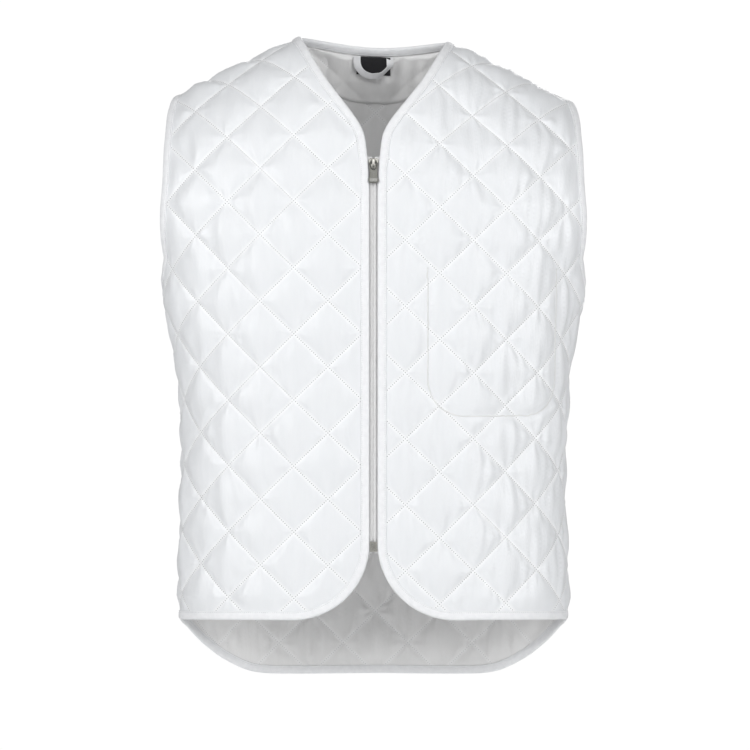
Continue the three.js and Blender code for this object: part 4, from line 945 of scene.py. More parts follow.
def binding_piece(name, loop, material, seed):
    rows, at = even_loop(loop, BINDING_STEP)
    edge, normal, mid, deep, deep_normal = (rows[:, k:k + 3] for k in range(0, 15, 3))
    total = at[-1] + BINDING_STEP
    rng = np.random.default_rng(seed)
    swell = np.zeros(len(at))
    slide = np.zeros(len(at))
    for _ in range(14):
        turns = round(total / (9 + 22 * rng.random()))
        swell += np.sin(2 * math.pi * turns * at / total + rng.random() * 6.28) * 0.055
        slide += np.sin(2 * math.pi * turns * at / total + rng.random() * 6.28) * 0.045
    rings = []
    flats = []
    outs = edge - mid
    outs /= np.linalg.norm(outs, axis=1, keepdims=True)
    run = 0.0
    before = None
    for into, w in BINDING_PROFILE:
        part = np.clip(into / 9.0, 0, 1)
        height = w + np.sign(w) * swell * (1.0 if 0 < into < 8 else 0.5)
        if into > 0:
            place = (edge * (1 - part) * (1 - 2 * part) + mid * 4 * part * (1 - part)
                     + deep * part * (2 * part - 1))
            up = normal + (deep_normal - normal) * part
            up /= np.linalg.norm(up, axis=1, keepdims=True)
            shift = slide if into > 7.8 else 0 * slide
            rings.append(place + up * height[:, None] - outs * shift[:, None])
        else:
            rings.append(edge - outs * into + normal * height[:, None])
        if before is not None:
            run += math.hypot(into - before[0], w - before[1])
        before = (into, w)
        flats.append(np.stack([at, np.full(len(at), run)], axis=1))
    size = len(BINDING_PROFILE)
    points = np.stack(rings, axis=1).reshape(-1, 3)
    flat = np.stack(flats, axis=1).reshape(-1, 2)
    faces = []
    count = len(at)
    for i in range(count):
        n = (i + 1) % count
        for k in range(size):
            m = (k + 1) % size
            faces.append((i * size + k, i * size + m, n * size + m, n * size + k))
    obj = make_object(name, points, faces, material, flat=flat)
    return obj, total


# Materials

def new_material(name):
    material = bpy.data.materials.new(name)
    material.use_nodes = True
    tree = material.node_tree
    shader = tree.nodes["Principled BSDF"]
    return material, tree, shader


def node(tree, kind, inputs=None, **settings):
    made = tree.nodes.new(kind)
    for key, value in settings.items():
        setattr(made, key, value)
    for key, value in (inputs or {}).items():
        socket = made.inputs[key]
        if isinstance(value, bpy.types.NodeSocket):
            tree.links.new(value, socket)
        else:
            socket.default_value = value
    return made


def maths(tree, operation, a, b=0.0, c=0.0, clamp=False):
    made = node(tree, "ShaderNodeMath", {0: a, 1: b, 2: c}, operation=operation, use_clamp=clamp)
    return made.outputs[0]


def ramp(tree, value, stops):
    made = node(tree, "ShaderNodeValToRGB", {"Fac": value})
    elements = made.color_ramp.elements
    for position, colour in stops[2:]:
        elements.new(position)
    for element, (position, colour) in zip(elements, stops):
        element.position = position
        element.color = (*colour, 1)
    return made.outputs["Color"]


# How strongly the cloth beside each stitch line is lightened: a painted highlight along the lines.
PAINTED_LINE_HIGHLIGHT = 0.75


def cloth_material(name, colour, shade, roughness, quilted, sheen=0.25, hole_shade=0.6):
    """Fine woven polyester. The weave and the needle holes follow the flat cloth's own places."""
    material, tree, shader = new_material(name)
    flat = node(tree, "ShaderNodeUVMap", uv_map="flat").outputs[0]
    scale = node(tree, "ShaderNodeVectorMath", {0: flat, 1: (1000, 1000, 1000)}, operation="MULTIPLY").outputs[0]
    parts = node(tree, "ShaderNodeSeparateXYZ", {0: scale})
    warp = maths(tree, "SINE", maths(tree, "MULTIPLY", parts.outputs[0], 2 * math.pi / 0.55))
    weft = maths(tree, "SINE", maths(tree, "MULTIPLY", parts.outputs[1], 2 * math.pi / 0.6))
    weave = maths(tree, "MULTIPLY", maths(tree, "ADD", warp, weft), 0.25)
    crease_map = node(tree, "ShaderNodeMapping", {0: scale, 3: (0.12, 0.022, 0.12)}).outputs[0]
    crease = node(tree, "ShaderNodeTexNoise", {"Vector": crease_map, "Scale": 1.0, "Detail": 3.0,
                                               "Roughness": 0.55}, noise_dimensions="2D").outputs[0]
    fine_map = node(tree, "ShaderNodeMapping", {0: scale, 3: (0.5, 0.17, 0.5)}).outputs[0]
    fine = node(tree, "ShaderNodeTexNoise", {"Vector": fine_map, "Scale": 1.0, "Detail": 2.0,
                                             "Roughness": 0.5}, noise_dimensions="2D").outputs[0]
    height = maths(tree, "ADD", maths(tree, "MULTIPLY", crease, 1.1),
                   maths(tree, "ADD", maths(tree, "MULTIPLY", fine, 0.28), maths(tree, "MULTIPLY", weave, 0.05)))
    # The colour runs from shade to colour with the crease noise that also raises the bump, so the crease hollows are
    # darker: painted crease shade.
    crease_shade = maths(tree, "MULTIPLY_ADD", crease, 0.5, 0.25, clamp=True)
    base = ramp(tree, crease_shade, [(0.0, shade), (1.0, colour)])
    if quilted:
        lattice = node(tree, "ShaderNodeUVMap", uv_map="lattice").outputs[0]
        cell = node(tree, "ShaderNodeSeparateXYZ", {0: lattice})
        holes = None
        highlight_band = None
        for line, along in ((0, 1), (1, 0)):
            part = maths(tree, "FRACT", maths(tree, "ADD", cell.outputs[line], 0.5))
            off = maths(tree, "ABSOLUTE", maths(tree, "SUBTRACT", part, 0.5))
            on_line = maths(tree, "LESS_THAN", off, 0.0112)
            beside = maths(tree, "SUBTRACT", 1.0, maths(tree, "DIVIDE", off, 0.085), clamp=True)
            highlight_band = beside if highlight_band is None else maths(tree, "MAXIMUM", highlight_band, beside)
            step = maths(tree, "FRACT", maths(tree, "MULTIPLY", cell.outputs[along], 19.0))
            dot = maths(tree, "GREATER_THAN", maths(tree, "ABSOLUTE", maths(tree, "SUBTRACT", step, 0.5)), 0.31)
            hole = maths(tree, "MULTIPLY", on_line, dot)
            holes = hole if holes is None else maths(tree, "MAXIMUM", holes, hole)
        # Painted highlight: within a band beside each stitch line the colour is mixed towards near-white.
        painted_highlight = maths(tree, "MULTIPLY", maths(tree, "POWER", highlight_band, 2.0), PAINTED_LINE_HIGHLIGHT)
        highlight_mix = node(tree, "ShaderNodeMix", {0: painted_highlight, 6: base, 7: (0.96, 0.965, 0.97, 1)}, data_type="RGBA")
        base = highlight_mix.outputs[2]
        # Painted shade: the needle holes on the stitch lines are darkened towards near-black. They also dip in the
        # bump just below.
        mixed = node(tree, "ShaderNodeMix", {0: maths(tree, "MULTIPLY", holes, hole_shade), 6: base,
                                             7: (0.13, 0.14, 0.16, 1)}, data_type="RGBA")
        base = mixed.outputs[2]
        height = maths(tree, "SUBTRACT", height, maths(tree, "MULTIPLY", holes, 0.5))
    bump = node(tree, "ShaderNodeBump", {"Strength": 0.5, "Distance": 0.0007, "Height": height})
    tree.links.new(bump.outputs[0], shader.inputs["Normal"])
    tree.links.new(base, shader.inputs["Base Color"])
    rough = maths(tree, "MULTIPLY_ADD", fine, 0.12, roughness - 0.06)
    tree.links.new(rough, shader.inputs["Roughness"])
    shader.inputs["Sheen Weight"].default_value = sheen
    shader.inputs["Sheen Roughness"].default_value = 0.4
    shader.inputs["Specular IOR Level"].default_value = 0.45
    return material


def tape_material(name, colour, shade, roughness, stitched=None):
    """Woven bias tape with fine ribs across it."""
    material, tree, shader = new_material(name)
    flat = node(tree, "ShaderNodeUVMap", uv_map="flat").outputs[0]
    scale = node(tree, "ShaderNodeVectorMath", {0: flat, 1: (1000, 1000, 1000)}, operation="MULTIPLY").outputs[0]
    parts = node(tree, "ShaderNodeSeparateXYZ", {0: scale})
    rib = maths(tree, "SINE", maths(tree, "MULTIPLY", parts.outputs[0], 2 * math.pi / 0.8))
    noise = node(tree, "ShaderNodeTexNoise", {"Vector": scale, "Scale": 0.16, "Detail": 3.0},
                 noise_dimensions="2D").outputs[0]
    height = maths(tree, "ADD", maths(tree, "MULTIPLY", rib, 0.06), noise)
    bump = node(tree, "ShaderNodeBump", {"Strength": 0.5, "Distance": 0.0006, "Height": height})
    tree.links.new(bump.outputs[0], shader.inputs["Normal"])
    base = ramp(tree, noise, [(0.2, shade), (0.8, colour)])
    if stitched is not None:
        off = maths(tree, "ABSOLUTE", maths(tree, "SUBTRACT", parts.outputs[1], stitched))
        step = maths(tree, "FRACT", maths(tree, "MULTIPLY", parts.outputs[0], 1 / 2.6))
        dot = maths(tree, "MULTIPLY", maths(tree, "LESS_THAN", off, 0.32), maths(tree, "GREATER_THAN", step, 0.6))
        mixed = node(tree, "ShaderNodeMix", {0: maths(tree, "MULTIPLY", dot, 0.5), 6: base,
                                             7: (0.4, 0.41, 0.44, 1)}, data_type="RGBA")
        base = mixed.outputs[2]
    tree.links.new(base, shader.inputs["Base Color"])
    tree.links.new(maths(tree, "MULTIPLY_ADD", noise, 0.15, roughness - 0.07), shader.inputs["Roughness"])
    shader.inputs["Sheen Weight"].default_value = 0.15
    return material


def metal_material(name, colour, shade, roughness, grain):
    material, tree, shader = new_material(name)
    place = node(tree, "ShaderNodeTexCoord").outputs["Object"]
    noise = node(tree, "ShaderNodeTexNoise", {"Vector": place, "Scale": grain, "Detail": 4.0}).outputs[0]
    tree.links.new(ramp(tree, noise, [(0.3, shade), (0.7, colour)]), shader.inputs["Base Color"])
    tree.links.new(maths(tree, "MULTIPLY_ADD", noise, 0.25, roughness - 0.12), shader.inputs["Roughness"])
    bump = node(tree, "ShaderNodeBump", {"Strength": 0.25, "Distance": 0.0001, "Height": noise})
    tree.links.new(bump.outputs[0], shader.inputs["Normal"])
    shader.inputs["Metallic"].default_value = 1.0
    return material


QUILT_CLOTH = cloth_material("quilted_cloth", (0.84, 0.853, 0.87), (0.765, 0.785, 0.808), 0.40, True)
QUILT_LINING = cloth_material("quilted_lining", (0.89, 0.89, 0.89), (0.77, 0.77, 0.77), 0.33, True, hole_shade=0.3)
LINING_CLOTH = cloth_material("lining_cloth", (0.86, 0.86, 0.86), (0.77, 0.77, 0.77), 0.36, False)
BINDING_TAPE = tape_material("binding_tape", (0.87, 0.88, 0.895), (0.80, 0.81, 0.83), 0.5, stitched=2.6)
ZIP_TAPE = tape_material("zip_tape", (0.90, 0.90, 0.90), (0.84, 0.84, 0.84), 0.7)
LOOP_TAPE = tape_material("loop_tape", (0.88, 0.885, 0.9), (0.8, 0.81, 0.83), 0.6)
LABEL_CLOTH = cloth_material("label_cloth", (0.022, 0.022, 0.025), (0.012, 0.012, 0.014), 0.6, False, sheen=0.1)
COIL = tape_material("zip_coil", (0.93, 0.93, 0.93), (0.86, 0.86, 0.86), 0.35)
METAL = metal_material("zip_metal", (0.60, 0.59, 0.55), (0.36, 0.355, 0.33), 0.34, 700)
PULLER_METAL = metal_material("puller_metal", (0.27, 0.27, 0.25), (0.11, 0.11, 0.10), 0.42, 2600)
# A grey cord material, darker than the coil and the tapes: painted shade for the groove between the coils and for the
# line round the pocket.
PAINTED_SHADE_CORD = tape_material("coil_cord", (0.80, 0.80, 0.80), (0.70, 0.70, 0.70), 0.6)
PANEL_METAL = metal_material("panel_metal", (0.44, 0.44, 0.42), (0.28, 0.28, 0.265), 0.5, 900)
RING_METAL = metal_material("ring_metal", (0.10, 0.10, 0.095), (0.035, 0.035, 0.03), 0.3, 1600)

# Stitch lines start from the measured crossings

RIGHT_QUILT = (53.0, CHEST_DROP - 277.5)
LEFT_QUILT = (37.0, CHEST_DROP - 284.2)
BACK_QUILT = (2.5, CHEST_DROP - 271.0)


# Inside pieces: the facing and the pocket are thin cloth lying on the puffs

def thin_piece(name, outline, face, quilt, height, thick, material, cell=2.4):
    """Cloth cut to an outline, lying inside at its own height above the middle of the wall."""
    poly = np.array([(p[0], p[1]) for p in outline])
    low = poly.min(axis=0) - cell
    high = poly.max(axis=0) + cell
    s_values = np.linspace(low[0], high[0], round((high[0] - low[0]) / cell) + 1)
    t_values = np.linspace(low[1], high[1], round((high[1] - low[1]) / cell) + 1)
    grid_s, grid_t = np.meshgrid(s_values, t_values, indexing="ij")
    points = np.stack([grid_s.ravel(), grid_t.ravel()], axis=1)
    triangles = grid_triangles(len(s_values), len(t_values))
    flat, triangles, inside = cut_flat(points, triangles, outline, 0.35 * cell)
    spans = flat[triangles]
    turn = np.cross(spans[:, 1] - spans[:, 0], spans[:, 2] - spans[:, 0])
    triangles[turn < 0] = triangles[turn < 0][:, ::-1]
    deep = height(flat, inside)
    upper = drape(face, flat[:, 0], flat[:, 1], -deep)
    lower = drape(face, flat[:, 0], flat[:, 1], -(deep - thick))
    count = len(flat)
    rim = rim_edges(triangles)
    quads = np.stack([rim[:, 1], rim[:, 0], rim[:, 0] + count, rim[:, 1] + count], axis=1)
    faces = triangles.tolist() + (triangles[:, ::-1] + count).tolist() + quads.tolist()
    if face is FRONT:
        faces = [f[::-1] for f in faces]
    obj = make_object(name, np.concatenate([upper, lower]), faces, material, flat=np.concatenate([flat, flat]))
    return obj


FACING_DEPTH = 69.0
FACING_HALF_WIDTH = 84.0
FACING_TIP_RISE = 14.0
FACING_POWER = 3.2
FACING_FALL = 10.2
LABEL_WIDE = 42.0
LABEL_TALL = 24.0
LABEL_THICK = 0.5
NECK_T = min(t for s, t, kind in BACK_OUTLINE if kind == "neck")


def facing_outline():
    upper = []
    for place in with_inward(BACK_OUTLINE):
        if place["edge"] == "neck" and abs(place["s"]) < FACING_HALF_WIDTH:
            moved = np.array([place["s"], place["t"]]) + place["inward"] * FACING_FALL
            upper.append((moved[0], moved[1]))
    tip = upper[0]
    foot = NECK_T - FACING_DEPTH
    lower_s = np.linspace(-tip[0], tip[0], 60)
    lower_t = foot + (tip[1] - FACING_TIP_RISE - foot) * np.abs(lower_s / tip[0]) ** FACING_POWER
    return list(zip(lower_s, lower_t)) + upper


FACING_OUTLINE = facing_outline()


def facing_height(flat, inside):
    a, b = lattice_of(BACK_QUILT, flat)
    relief = filled_shape(a, b, 9)
    s, t = flat[:, 0], flat[:, 1]
    folds = soft_noise(s / 34.0, t / 150.0, 61, 2)
    upright = np.exp(-(((np.abs(s) - 62) / 9.0) ** 2)) * 1.3 * np.sin(s / 4.2) * smooth_step((NECK_T - 6 - t) / 14)
    rolled = np.exp(-(((inside - 2.6) / 1.7) ** 2)) * 0.9 * smooth_step((NECK_T - 26 - t) / 12)
    eased = smooth_step(inside / 3.0)
    lines = 0.5 - np.abs(a - np.floor(a) - 0.5)
    lines = np.minimum(lines, 0.5 - np.abs(b - np.floor(b) - 0.5))
    beside_label = np.maximum(smooth_step((np.abs(s) - 20.0) / 12.0), smooth_step((NECK_T - 30.0 - t) / 12.0))
    strength = 0.35 + 0.65 * beside_label
    bulge = 2.6 * relief + 1.5 * folds + 2.0 * upright - 0.5 * (1 - smooth_step(lines / 0.05))
    return 2.5 + eased * (1.1 + strength * bulge) + 1.3 * rolled


def pocket_height(flat, inside):
    a, b = lattice_of(LEFT_QUILT, flat)
    relief = filled_shape(a, b, 7)
    folds = soft_noise(flat[:, 0] / 40.0, flat[:, 1] / 120.0, 62, 2)
    hung = ripple(flat, 7, 230.0)
    return 4.0 - hung + (0.7 * relief + 0.3 * folds) * smooth_step(inside / 5.0)


def slab(name, face, s_values, t_values, top, bottom, material):
    """A thin draped rectangle. top and bottom: heights above the wall for places s, t."""
    grid_s, grid_t = np.meshgrid(s_values, t_values, indexing="ij")
    s, t = grid_s.ravel(), grid_t.ravel()
    upper = drape(face, s, t, top(s, t))
    lower = drape(face, s, t, bottom(s, t))
    rows, columns = len(s_values), len(t_values)
    index = np.arange(rows * columns).reshape(rows, columns)
    quads = np.stack([index[:-1, :-1], index[1:, :-1], index[1:, 1:], index[:-1, 1:]], -1).reshape(-1, 4)
    count = rows * columns
    ring = np.concatenate([index[:-1, 0], index[-1, :-1], index[:0:-1, -1], index[0, :0:-1]])
    after = np.roll(ring, -1)
    sides = np.stack([after, ring, ring + count, after + count], axis=1)
    faces = quads.tolist() + (quads[:, ::-1] + count).tolist() + sides.tolist()
    if face is BACK:
        faces = [f[::-1] for f in faces]
    flat = np.concatenate([np.stack([s, t], 1)] * 2)
    return make_object(name, np.concatenate([upper, lower]), faces, material, flat=flat)


def label_height(s, t):
    flat = np.stack([s, t], axis=1)
    return facing_height(flat, np.full(len(s), 20.0)) * 0.4 + 3.6 + 0.4 * smooth_step((NECK_T - 18 - t) / 16)


def add_label():
    top = NECK_T - 7.6
    s_values = np.linspace(-LABEL_WIDE / 2, LABEL_WIDE / 2, 22)
    t_values = np.linspace(top - LABEL_TALL, top, 14)
    label = slab("bare_label", BACK, s_values, t_values,
                 lambda s, t: -(label_height(s, t) + 0.3), lambda s, t: -(label_height(s, t) + 0.3 + LABEL_THICK),
                 LABEL_CLOTH)
    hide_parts("neck_label")


# across, drop below the top, stand-off from the wall, how far the ribbon is turned on edge, its width
LOOP_ROWS = (
    (-20.2, 0.0, 5.9, 0.0, 8.6),
    (-20.4, 5.0, 6.6, 0.0, 8.7),
    (-20.0, 10.0, 8.0, 4.0, 8.8),
    (-17.8, 15.2, 10.0, 10.0, 8.6),
    (-13.0, 20.0, 12.2, 14.0, 8.4),
    (-4.5, 23.4, 13.6, 12.0, 8.2),
    (4.6, 22.6, 13.6, 24.0, 8.2),
    (12.2, 19.0, 12.2, 46.0, 8.2),
    (17.4, 14.0, 10.4, 50.0, 8.4),
    (20.4, 9.4, 8.6, 26.0, 8.6),
    (20.8, 4.6, 6.9, 8.0, 8.7),
    (20.4, 0.0, 5.9, 0.0, 8.7),
)
LOOP_THICK = 0.7


def add_loop():
    rows = catmull(np.array(LOOP_ROWS), False, 6)
    top = NECK_T - 7.4
    s = rows[:, 0]
    t = top - rows[:, 1]
    middle = drape(BACK, s, t, -rows[:, 2])
    normal = -form_normal(BACK, s, t)
    along = np.gradient(middle, axis=0)
    along /= np.linalg.norm(along, axis=1, keepdims=True)
    across = np.cross(normal, along)
    across /= np.linalg.norm(across, axis=1, keepdims=True)
    outward = np.cross(along, across)
    turn = np.radians(rows[:, 3])[:, None]
    wide = across * np.cos(turn) + outward * np.sin(turn)
    thick = outward * np.cos(turn) - across * np.sin(turn)
    run = np.concatenate([[0], np.cumsum(np.linalg.norm(np.diff(middle, axis=0), axis=1))])
    corners = [(-1, -1), (-0.9, -1.25), (-0.35, -1), (0.35, -1), (0.9, -1.25), (1, -1),
               (1, 1), (0.9, 1.25), (0.35, 1), (-0.35, 1), (-0.9, 1.25), (-1, 1)]
    rings = []
    flats = []
    for x, y in corners:
        rings.append(middle + wide * (x * rows[:, 4:5] / 2) + thick * (y * LOOP_THICK / 2))
        flats.append(np.stack([run, x * rows[:, 4] / 2], axis=1))
    points = np.stack(rings, axis=1).reshape(-1, 3)
    flat = np.stack(flats, axis=1).reshape(-1, 2)
    size = len(corners)
    faces = []
    for i in range(len(rows) - 1):
        for k in range(size):
            m = (k + 1) % size
            faces.append((i * size + k, i * size + m, (i + 1) * size + m, (i + 1) * size + k))
    last = (len(rows) - 1) * size
    faces.append(tuple(range(size))[::-1])
    faces.append(tuple(last + k for k in range(size)))
    loop = make_object("ribbon_loop", points, faces, LOOP_TAPE, flat=flat)
    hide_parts("hanger_loop")


# Zip: woven tapes, a coil on each of them, and the metal parts with softened edges

ZIP_TAPE_PART = 3.2
ZIP_TAPE_WIDE = 13.4
ZIP_FOOT_T = CHEST_DROP - 558.0 - 11.5 - 2.0
COIL_FOOT_T = CHEST_DROP - 557.6
COIL_TOP_T = CHEST_DROP - 115.8
COIL_PITCH = 1.3
COIL_WIRE = 0.36
COIL_SIDES = 6
COIL_STEPS = 12
COIL_ASIDE = -0.4
SEAM_CORD = 1.5
POCKET_THREAD = 0.75


def add_zip_tapes():
    for name, side, nodes in (("woven_tape_right", -1, "zip_tape_right"), ("woven_tape_left", 1, "zip_tape_left")):
        near = side * ZIP_TAPE_PART / 2
        far = side * (ZIP_TAPE_PART / 2 + ZIP_TAPE_WIDE)
        s_values = np.linspace(min(near, far), max(near, far), 15)
        t_values = np.linspace(ZIP_FOOT_T, ZIP_TOP_T, 190)

        def top(s, t):
            edge = np.minimum(np.abs(np.abs(s) - 1.6), np.abs(np.abs(s) - 15.0))
            return -3.12 - 0.16 * np.exp(-((edge / 0.8) ** 2)) + 0.05 * soft_noise(s / 18.0, t / 22.0, 71, 2)

        tape = slab(name, FRONT, s_values, t_values, top, lambda s, t: top(s, t) - 0.8, ZIP_TAPE)
        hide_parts(nodes)


def tube(line, radius, sides, aside):
    """Points and faces of a round tube along a line that never runs along the aside direction."""
    along = np.gradient(line, axis=0)
    along /= np.linalg.norm(along, axis=1, keepdims=True)
    first = np.cross(along, np.array(aside))
    first /= np.linalg.norm(first, axis=1, keepdims=True)
    second = np.cross(along, first)
    count = len(line)
    points = []
    faces = []
    for k in range(sides):
        turn = 2 * math.pi * k / sides
        points.append(line + (first * math.cos(turn) + second * math.sin(turn)) * radius)
        a = k * count + np.arange(count - 1)
        b = (k + 1) % sides * count + np.arange(count - 1)
        faces += np.stack([a, b, b + 1, a + 1], axis=1).tolist()
    faces.append([k * count for k in range(sides)][::-1])
    faces.append([k * count + count - 1 for k in range(sides)])
    return np.concatenate(points), faces


def tubes_object(name, lines, radius, sides, aside, material):
    points = []
    faces = []
    flats = []
    offset = 0
    for line in lines:
        round_points, round_faces = tube(line, radius, sides, aside)
        points.append(round_points)
        faces += [[offset + i for i in face] for face in round_faces]
        run = np.linspace(0.0, len(line), len(line))
        flats += [np.stack([run, np.full(len(line), float(k))], axis=1) for k in range(sides)]
        offset += len(round_points)
    return make_object(name, np.concatenate(points), faces, material, flat=np.concatenate(flats))


def add_coils():
    """Two flattened coils side by side with a groove between them."""
    turns = int((COIL_TOP_T - COIL_FOOT_T) / COIL_PITCH)
    angle = np.arange(turns * COIL_STEPS + 1) * 2 * math.pi / COIL_STEPS
    t = COIL_FOOT_T + COIL_PITCH * angle / (2 * math.pi)
    lines = []
    for side in (-1, 1):
        phase = 0.0 if side > 0 else math.pi
        s = COIL_ASIDE + side * (2.45 + 1.4 * np.cos(angle + phase))
        lines.append(drape(FRONT, s, t, -1.68 + 0.62 * np.sin(angle + phase)))
    coil = tubes_object("zip_coils", lines, COIL_WIRE, COIL_SIDES, (0.0, 0.0, 1.0), COIL)
    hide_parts("zip_chain")
    # The cord in the groove between the coils is grey: painted shade of the groove.
    cord_s = np.array([-3.9, -3.6, -1.4, -0.8, -0.35, 0.35, 0.8, 1.4, 3.6, 3.9]) + COIL_ASIDE
    cord = slab("coil_cord", FRONT, cord_s, np.linspace(COIL_FOOT_T, COIL_TOP_T, 120),
         lambda s, t: -1.8 - 1.2 * np.exp(-(((s - COIL_ASIDE) / 0.9) ** 2)),
         lambda s, t: np.full(len(s), -3.3), PAINTED_SHADE_CORD)


def add_pocket_seam():
    """The thread line that holds the pocket, lying in its groove on the outside."""
    route = spaced(np.array(pocket_outline()), 2.4)
    near = drape(FRONT, route[:, 0], route[:, 1], 3.0)
    found = [front_left.closest_point_on_mesh(Vector(place) * MM)[1] for place in near]
    line = np.array([list(place) for place in found]) / MM
    # The thread is grey: a painted shadow line along the pocket's groove.
    seam = tubes_object("pocket_seam", [line], POCKET_THREAD, COIL_SIDES, (0.0, 1.0, 0.0), PAINTED_SHADE_CORD)


def add_seams():
    """A corded seam that closes the joint between the fronts and the back, at the shoulders and the sides."""
    lines = []
    places = with_inward(FRONT_OUTLINE)
    run = []
    for place in places + places[:1]:
        if place["edge"] == "seam":
            run.append((place["s"], place["t"]))
        elif run:
            run.append((place["s"], place["t"]))
            for side in (-1, 1):
                line = np.array([form_point(FRONT, side * s, t) for s, t in run])
                lines.append(line)
            run = []
    seams = tubes_object("seam_cord", lines, SEAM_CORD, COIL_SIDES, (0.0, 1.0, 0.0), LINING_CLOTH)


PIVOT = (0.0, -109.05, -115.11)
PULLER_LEAN = math.radians(-10.514)
PULLER_HALF = 0.8
# half width and height above the pivot, down the puller's side
PULLER_SIDE = ((0.0, 2.6), (1.7, 2.2), (3.3, 0.8), (4.5, -1.6), (5.1, -4.6), (5.0, -7.6), (4.55, -11.0),
               (4.4, -15.0), (4.6, -19.0), (5.2, -20.8), (5.95, -22.1), (6.05, -24.0), (5.3, -25.7),
               (3.2, -26.4), (0.0, -26.5))
# the drop-shaped window, the same way
WINDOW_SIDE = ((0.0, -0.75), (1.6, -1.2), (2.6, -2.9), (2.75, -5.4), (2.2, -8.0), (1.1, -10.2), (0.0, -10.9))
PANEL_SIDE = ((0.0, -20.9), (3.3, -20.9), (4.1, -21.5), (4.2, -24.2), (3.3, -25.0), (0.0, -25.0))


def mirrored_loop(side, steps):
    line = spaced(catmull(np.array(side), False, 10), 1.0)
    line = spaced(line, np.linalg.norm(np.diff(line, axis=0), axis=1).sum() / steps)
    return np.concatenate([line, (line[1:-1] * np.array([-1, 1]))[::-1]])


def plate_piece(name, loops, low, high, bevel, material):
    """A thin plate between two heights outward from the pivot, cut by closed loops, with round edges."""
    shape = bmesh.new()
    for loop in loops:
        verts = [shape.verts.new((x, -low, z)) for x, z in loop]
        for k, vert in enumerate(verts):
            shape.edges.new((vert, verts[(k + 1) % len(verts)]))
    bmesh.ops.triangle_fill(shape, use_beauty=True, edges=shape.edges[:])
    made = bmesh.ops.extrude_face_region(shape, geom=shape.faces[:])
    moved = [part for part in made["geom"] if isinstance(part, bmesh.types.BMVert)]
    bmesh.ops.translate(shape, verts=moved, vec=(0, -(high - low), 0))
    bmesh.ops.recalc_face_normals(shape, faces=shape.faces)
    sharp = [e for e in shape.edges if len(e.link_faces) == 2 and e.calc_face_angle(0) > math.radians(50)]
    bmesh.ops.bevel(shape, geom=sharp, offset=bevel, offset_type="OFFSET", segments=3, profile=0.5,
                    affect="EDGES", clamp_overlap=True)
    cosine, sine = math.cos(PULLER_LEAN), math.sin(PULLER_LEAN)
    for vert in shape.verts:
        x, y, z = vert.co
        vert.co = Vector((x, y * cosine - z * sine, y * sine + z * cosine)) + Vector(PIVOT)
        vert.co *= MM
    mesh = bpy.data.meshes.new(name)
    shape.to_mesh(mesh)
    shape.free()
    mesh.materials.append(material)
    mesh.polygons.foreach_set("use_smooth", [True] * len(mesh.polygons))
    mesh.set_sharp_from_angle(angle=math.radians(38))
    obj = bpy.data.objects.new(name, mesh)
    bpy.context.scene.collection.objects.link(obj)
    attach(obj, "puller")
    return obj


def add_puller():
    loops = [mirrored_loop(PULLER_SIDE, 34), mirrored_loop(WINDOW_SIDE, 14)]
    plate = plate_piece("puller_plate", loops, -PULLER_HALF + 0.1, PULLER_HALF, 0.38, PULLER_METAL)
    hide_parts("zip_puller")
    panel = [mirrored_loop(PANEL_SIDE, 16)]
    field = plate_piece("puller_panel", panel, PULLER_HALF - 0.3, PULLER_HALF + 0.35, 0.25, PANEL_METAL)
    rim = [mirrored_loop([(x * 1.6 + 0.2, z * 1.08 + 0.75) for x, z in WINDOW_SIDE], 18),
           mirrored_loop(WINDOW_SIDE, 14)]
    ring = plate_piece("puller_ring", rim, PULLER_HALF - 0.3, PULLER_HALF + 0.5, 0.3, RING_METAL)


def softened_copy(node_name, name, material, body, width):
    """A copy of a hard part with its edges rounded off, so that they catch the light."""
    cad = bpy.data.objects[node_name]
    mesh = cad.data.copy()
    mesh.transform(cad.matrix_world)
    obj = bpy.data.objects.new(name, mesh)
    bpy.context.scene.collection.objects.link(obj)
    mesh.materials.clear()
    mesh.materials.append(material)
    shape = bmesh.new()
    shape.from_mesh(mesh)
    bmesh.ops.remove_doubles(shape, verts=shape.verts, dist=1e-6)
    bmesh.ops.dissolve_limit(shape, angle_limit=math.radians(2), verts=shape.verts, edges=shape.edges)
    sharp = [e for e in shape.edges if len(e.link_faces) == 2 and e.calc_face_angle(0) > math.radians(25)]
    bmesh.ops.bevel(shape, geom=sharp, offset=width * MM, offset_type="OFFSET", segments=2, profile=0.6,
                    affect="EDGES", clamp_overlap=True)
    shape.to_mesh(mesh)
    shape.free()
    mesh.polygons.foreach_set("use_smooth", [True] * len(mesh.polygons))
    mesh.set_sharp_from_angle(angle=math.radians(40))
    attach(obj, body)
    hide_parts(node_name)
    return obj


# The pieces


front_right, _, _ = quilted_piece("quilt_front_right", FRONT_OUTLINE, FRONT, -1, RIGHT_QUILT, QUILT_CLOTH, 3)
front_left, _, _ = quilted_piece("quilt_front_left", FRONT_OUTLINE, FRONT, 1, LEFT_QUILT, QUILT_CLOTH, 7, True)
back, _, _ = quilted_piece("quilt_back", BACK_OUTLINE, BACK, 1, BACK_QUILT, QUILT_CLOTH, 9)
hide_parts("front_right")
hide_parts("front_left")
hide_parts("back")

edge_tape, edge_total = binding_piece("bound_edge", edge_loop(), BINDING_TAPE, 21)
right_tape, right_total = binding_piece("bound_armhole_right", armhole_loop(-1), BINDING_TAPE, 22)
left_tape, left_total = binding_piece("bound_armhole_left", armhole_loop(1), BINDING_TAPE, 23)
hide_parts("edge_binding")
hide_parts("armhole_binding_right")
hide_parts("armhole_binding_left")

